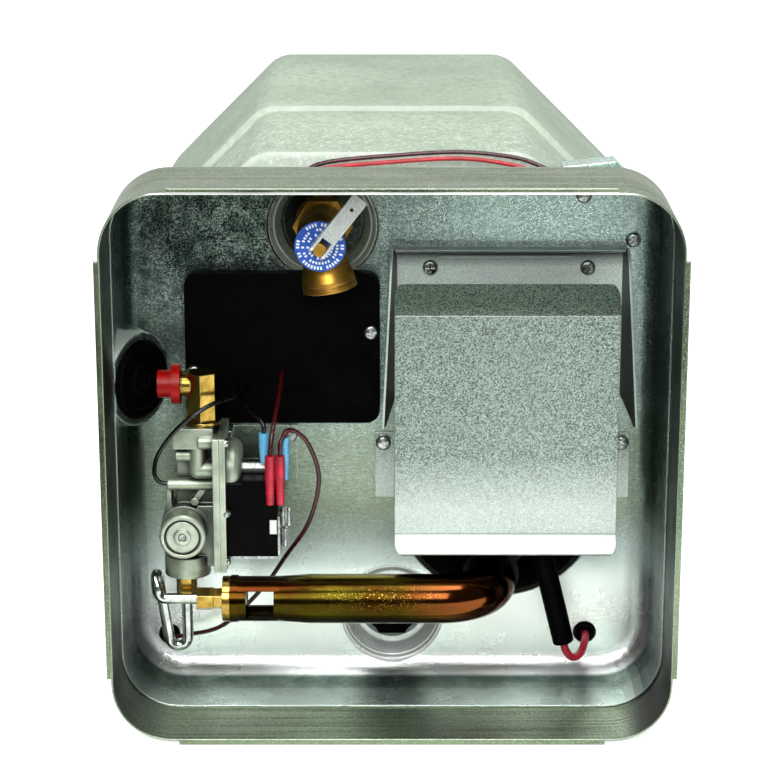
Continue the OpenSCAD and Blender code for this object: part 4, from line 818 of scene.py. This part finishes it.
roll = lathe("blade_roll", [(roll_out_r, 0.0), (roll_out_r, blade_l), (roll_in_r, blade_l), (roll_in_r, 0.0),
                            (roll_out_r, 0.0)], bright_zinc, small_sides, True)
set_out("coil_spade_rolls", roll, [(-62.8, 44.6, -47.2), (-59.4, 44.6, -47.2), (-62.8, 44.6, -59.6),
                                   (-61.6, 45.6, -59.6)], upright, "bright_steel")
bpy.data.objects.remove(roll)
blade = thin_plate("blade_plate", (0, 0, blade_l / 2), blade_size, bright_zinc)
ease_edges(0.00025)
set_out("coil_spade_plates", blade, [(-62.2, 43.2, -47.2), (-62.2, 43.2, -59.6)], upright, "bright_steel",
        "coil_tabs")
bpy.data.objects.remove(blade)

patch_white = clouded("tab_white", (0, 0.5), 400.0, "c9cec6", "e6eae2")[0]
patch = thin_plate("coil_tab_patch", spot(-68.1, 53.0, -45.8), patch_size, patch_white)
ease_edges(0.0002)
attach(patch, "heater")

red_sleeve = insulation("red_sleeve", "c41a38", "8a0e22", 0.26)
blue_sleeve = insulation("blue_sleeve", "6fbbe0", "4c97c2", 0.28)
dress(red_sleeve, "red_terminals")
dress(blue_sleeve, "blue_terminals")

# Gas feed: a machined brass elbow with a red travel cap on its threaded nipple, a bright tube bent back on
# itself with its nut, and the orifice holder that is screwed in front of the burner.
nipple_r = 0.0068
thread_r = 0.0073
thread_half = 0.0005
thread_sides = 40
brass, tree, shader, coords, tone, edge = finish_with_edge_highlight(
    "machined_brass", (1.0, 0.22), 110.0, "7a5c1c", "cbac58", 0.0007, 0.7, "fbe3a6", Detail=5.0)
polish(tree, shader, tone, 0.3, 0.15)
relief(tree, shader, tone, 0.00005, 0.5, edge["Normal"])
dress(brass, "inlet_elbow", "outlet_fitting", "tube_nut", "orifice_holder", "hot_outlet_coupling",
      "cold_inlet_coupling")
thread = lathe("thread", [(nipple_r, -thread_half), (thread_r, 0.0), (nipple_r, thread_half)],
               brass, thread_sides, True)
set_out("nipple_thread", thread, [(-120.0, 36, 35), (-118.8, 36, 35), (-117.6, 36, 35)], to_right, "brass")
bpy.data.objects.remove(thread)

drawn_tube, tree, shader, coords, tone = clouded("drawn_tube", (1.0, 0.16), 120.0, "8f9490", "d9dcd8")
polish(tree, shader, tone, 0.24, 0.12)
dress(drawn_tube, "gas_tube")

red_cap, tree, shader, coords, tone = clouded("red_cap", (0, 0.32, 0.2), 100.0, "760402", "ae0b04")
polish(tree, shader, tone, 0.4, 0.26)
dress(red_cap, "inlet_cap", "reset_button")

# Burner: rolled tube with a flared mixer, yellow-passivated so that gold, olive and red-brown run into
# each other, and a turning air shutter. Its upper side carries painted glints, and the mixer's pinch a
# painted highlight along its top and bottom.
drift_scale = (14, 60, 60)
glint_from_x = (-0.05, -0.02)
glint_to_x = (0.035, 0.01)
bend_x = (0.005, 0.045)
pinched_from_x = (-0.062, -0.05)
pinched_to_x = (0.014, 0.0)
passivated, tree, shader, coords = surface("passivated_burner", 1.0, 0.14)
tone = clouds(tree, coords, 26.0, Detail=5.0)
drift_laid = put(tree, "Mapping", {"Vector": coords, "Scale": drift_scale}).outputs[0]
drift = clouds(tree, drift_laid, 1.0, Detail=5.0)
speck = noise(tree, coords, 1300.0, Detail=2.0)
place = axes(tree, coords)
facing = axes(tree, outward(tree))
glint_zone = both(tree, window(tree, place["X"], *glint_from_x), window(tree, place["X"], *glint_to_x))
upper = both(tree, window(tree, facing["Z"], -0.25, 0.05), window(tree, facing["Z"], 0.8, 0.55))
glint_zone = both(tree, glint_zone, upper)
skin = between(tree, tone, hue("220d04"), hue("48300a"))
skin = between(tree, window(tree, drift, 0.45, 0.9), skin, hue("3b380a"))
skin = between(tree, window(tree, drift, 0.4, 0.05), skin, hue("421608"))
skin = between(tree, window(tree, place["X"], *bend_x, 0, 0.6), skin, hue("8a4526"))
# Painted highlight: gold slivers along the top and bottom of the pinched mixer
painted_pinch_highlight = both(tree, window(tree, place["X"], *pinched_from_x), window(tree, place["X"], *pinched_to_x))
along_edge = window(tree, sums(tree, "ABSOLUTE", facing["Z"]), 0.82, 0.9, 0, 0.75)
skin = laid_over(tree, painted_pinch_highlight, along_edge, skin, "8a7526")
# Painted glints: gold flecks on the upward faces of the middle zone
painted_gold_glints = both(tree, window(tree, speck, 0.6, 0.68), window(tree, glint_zone, 0, 1, 0.03, 0.6))
skin = between(tree, painted_gold_glints, skin, hue("c49a36"))
colour(tree, shader, skin)
polish(tree, shader, tone, 0.22, 0.1)
relief(tree, shader, both(tree, speck, glint_zone), 0.0002, 0.6)
dress(passivated, "burner_tube", "air_shutter")

# Ignition: a glazed ceramic electrode, clamped on its bracket by the burner's mouth, and the green circuit
# board that fires it, held under its sheet cover behind the collar.
ceramic = clouded("glazed_ceramic", (0, 0.2), 80.0, "d6d3c8", "f0eee6")[0]
dress(ceramic, "electrode")

board_green = clouded("board_green", (0, 0.4), 80.0, "1e5a2c", "2f7a40")[0]
dress(board_green, "ignition_module")
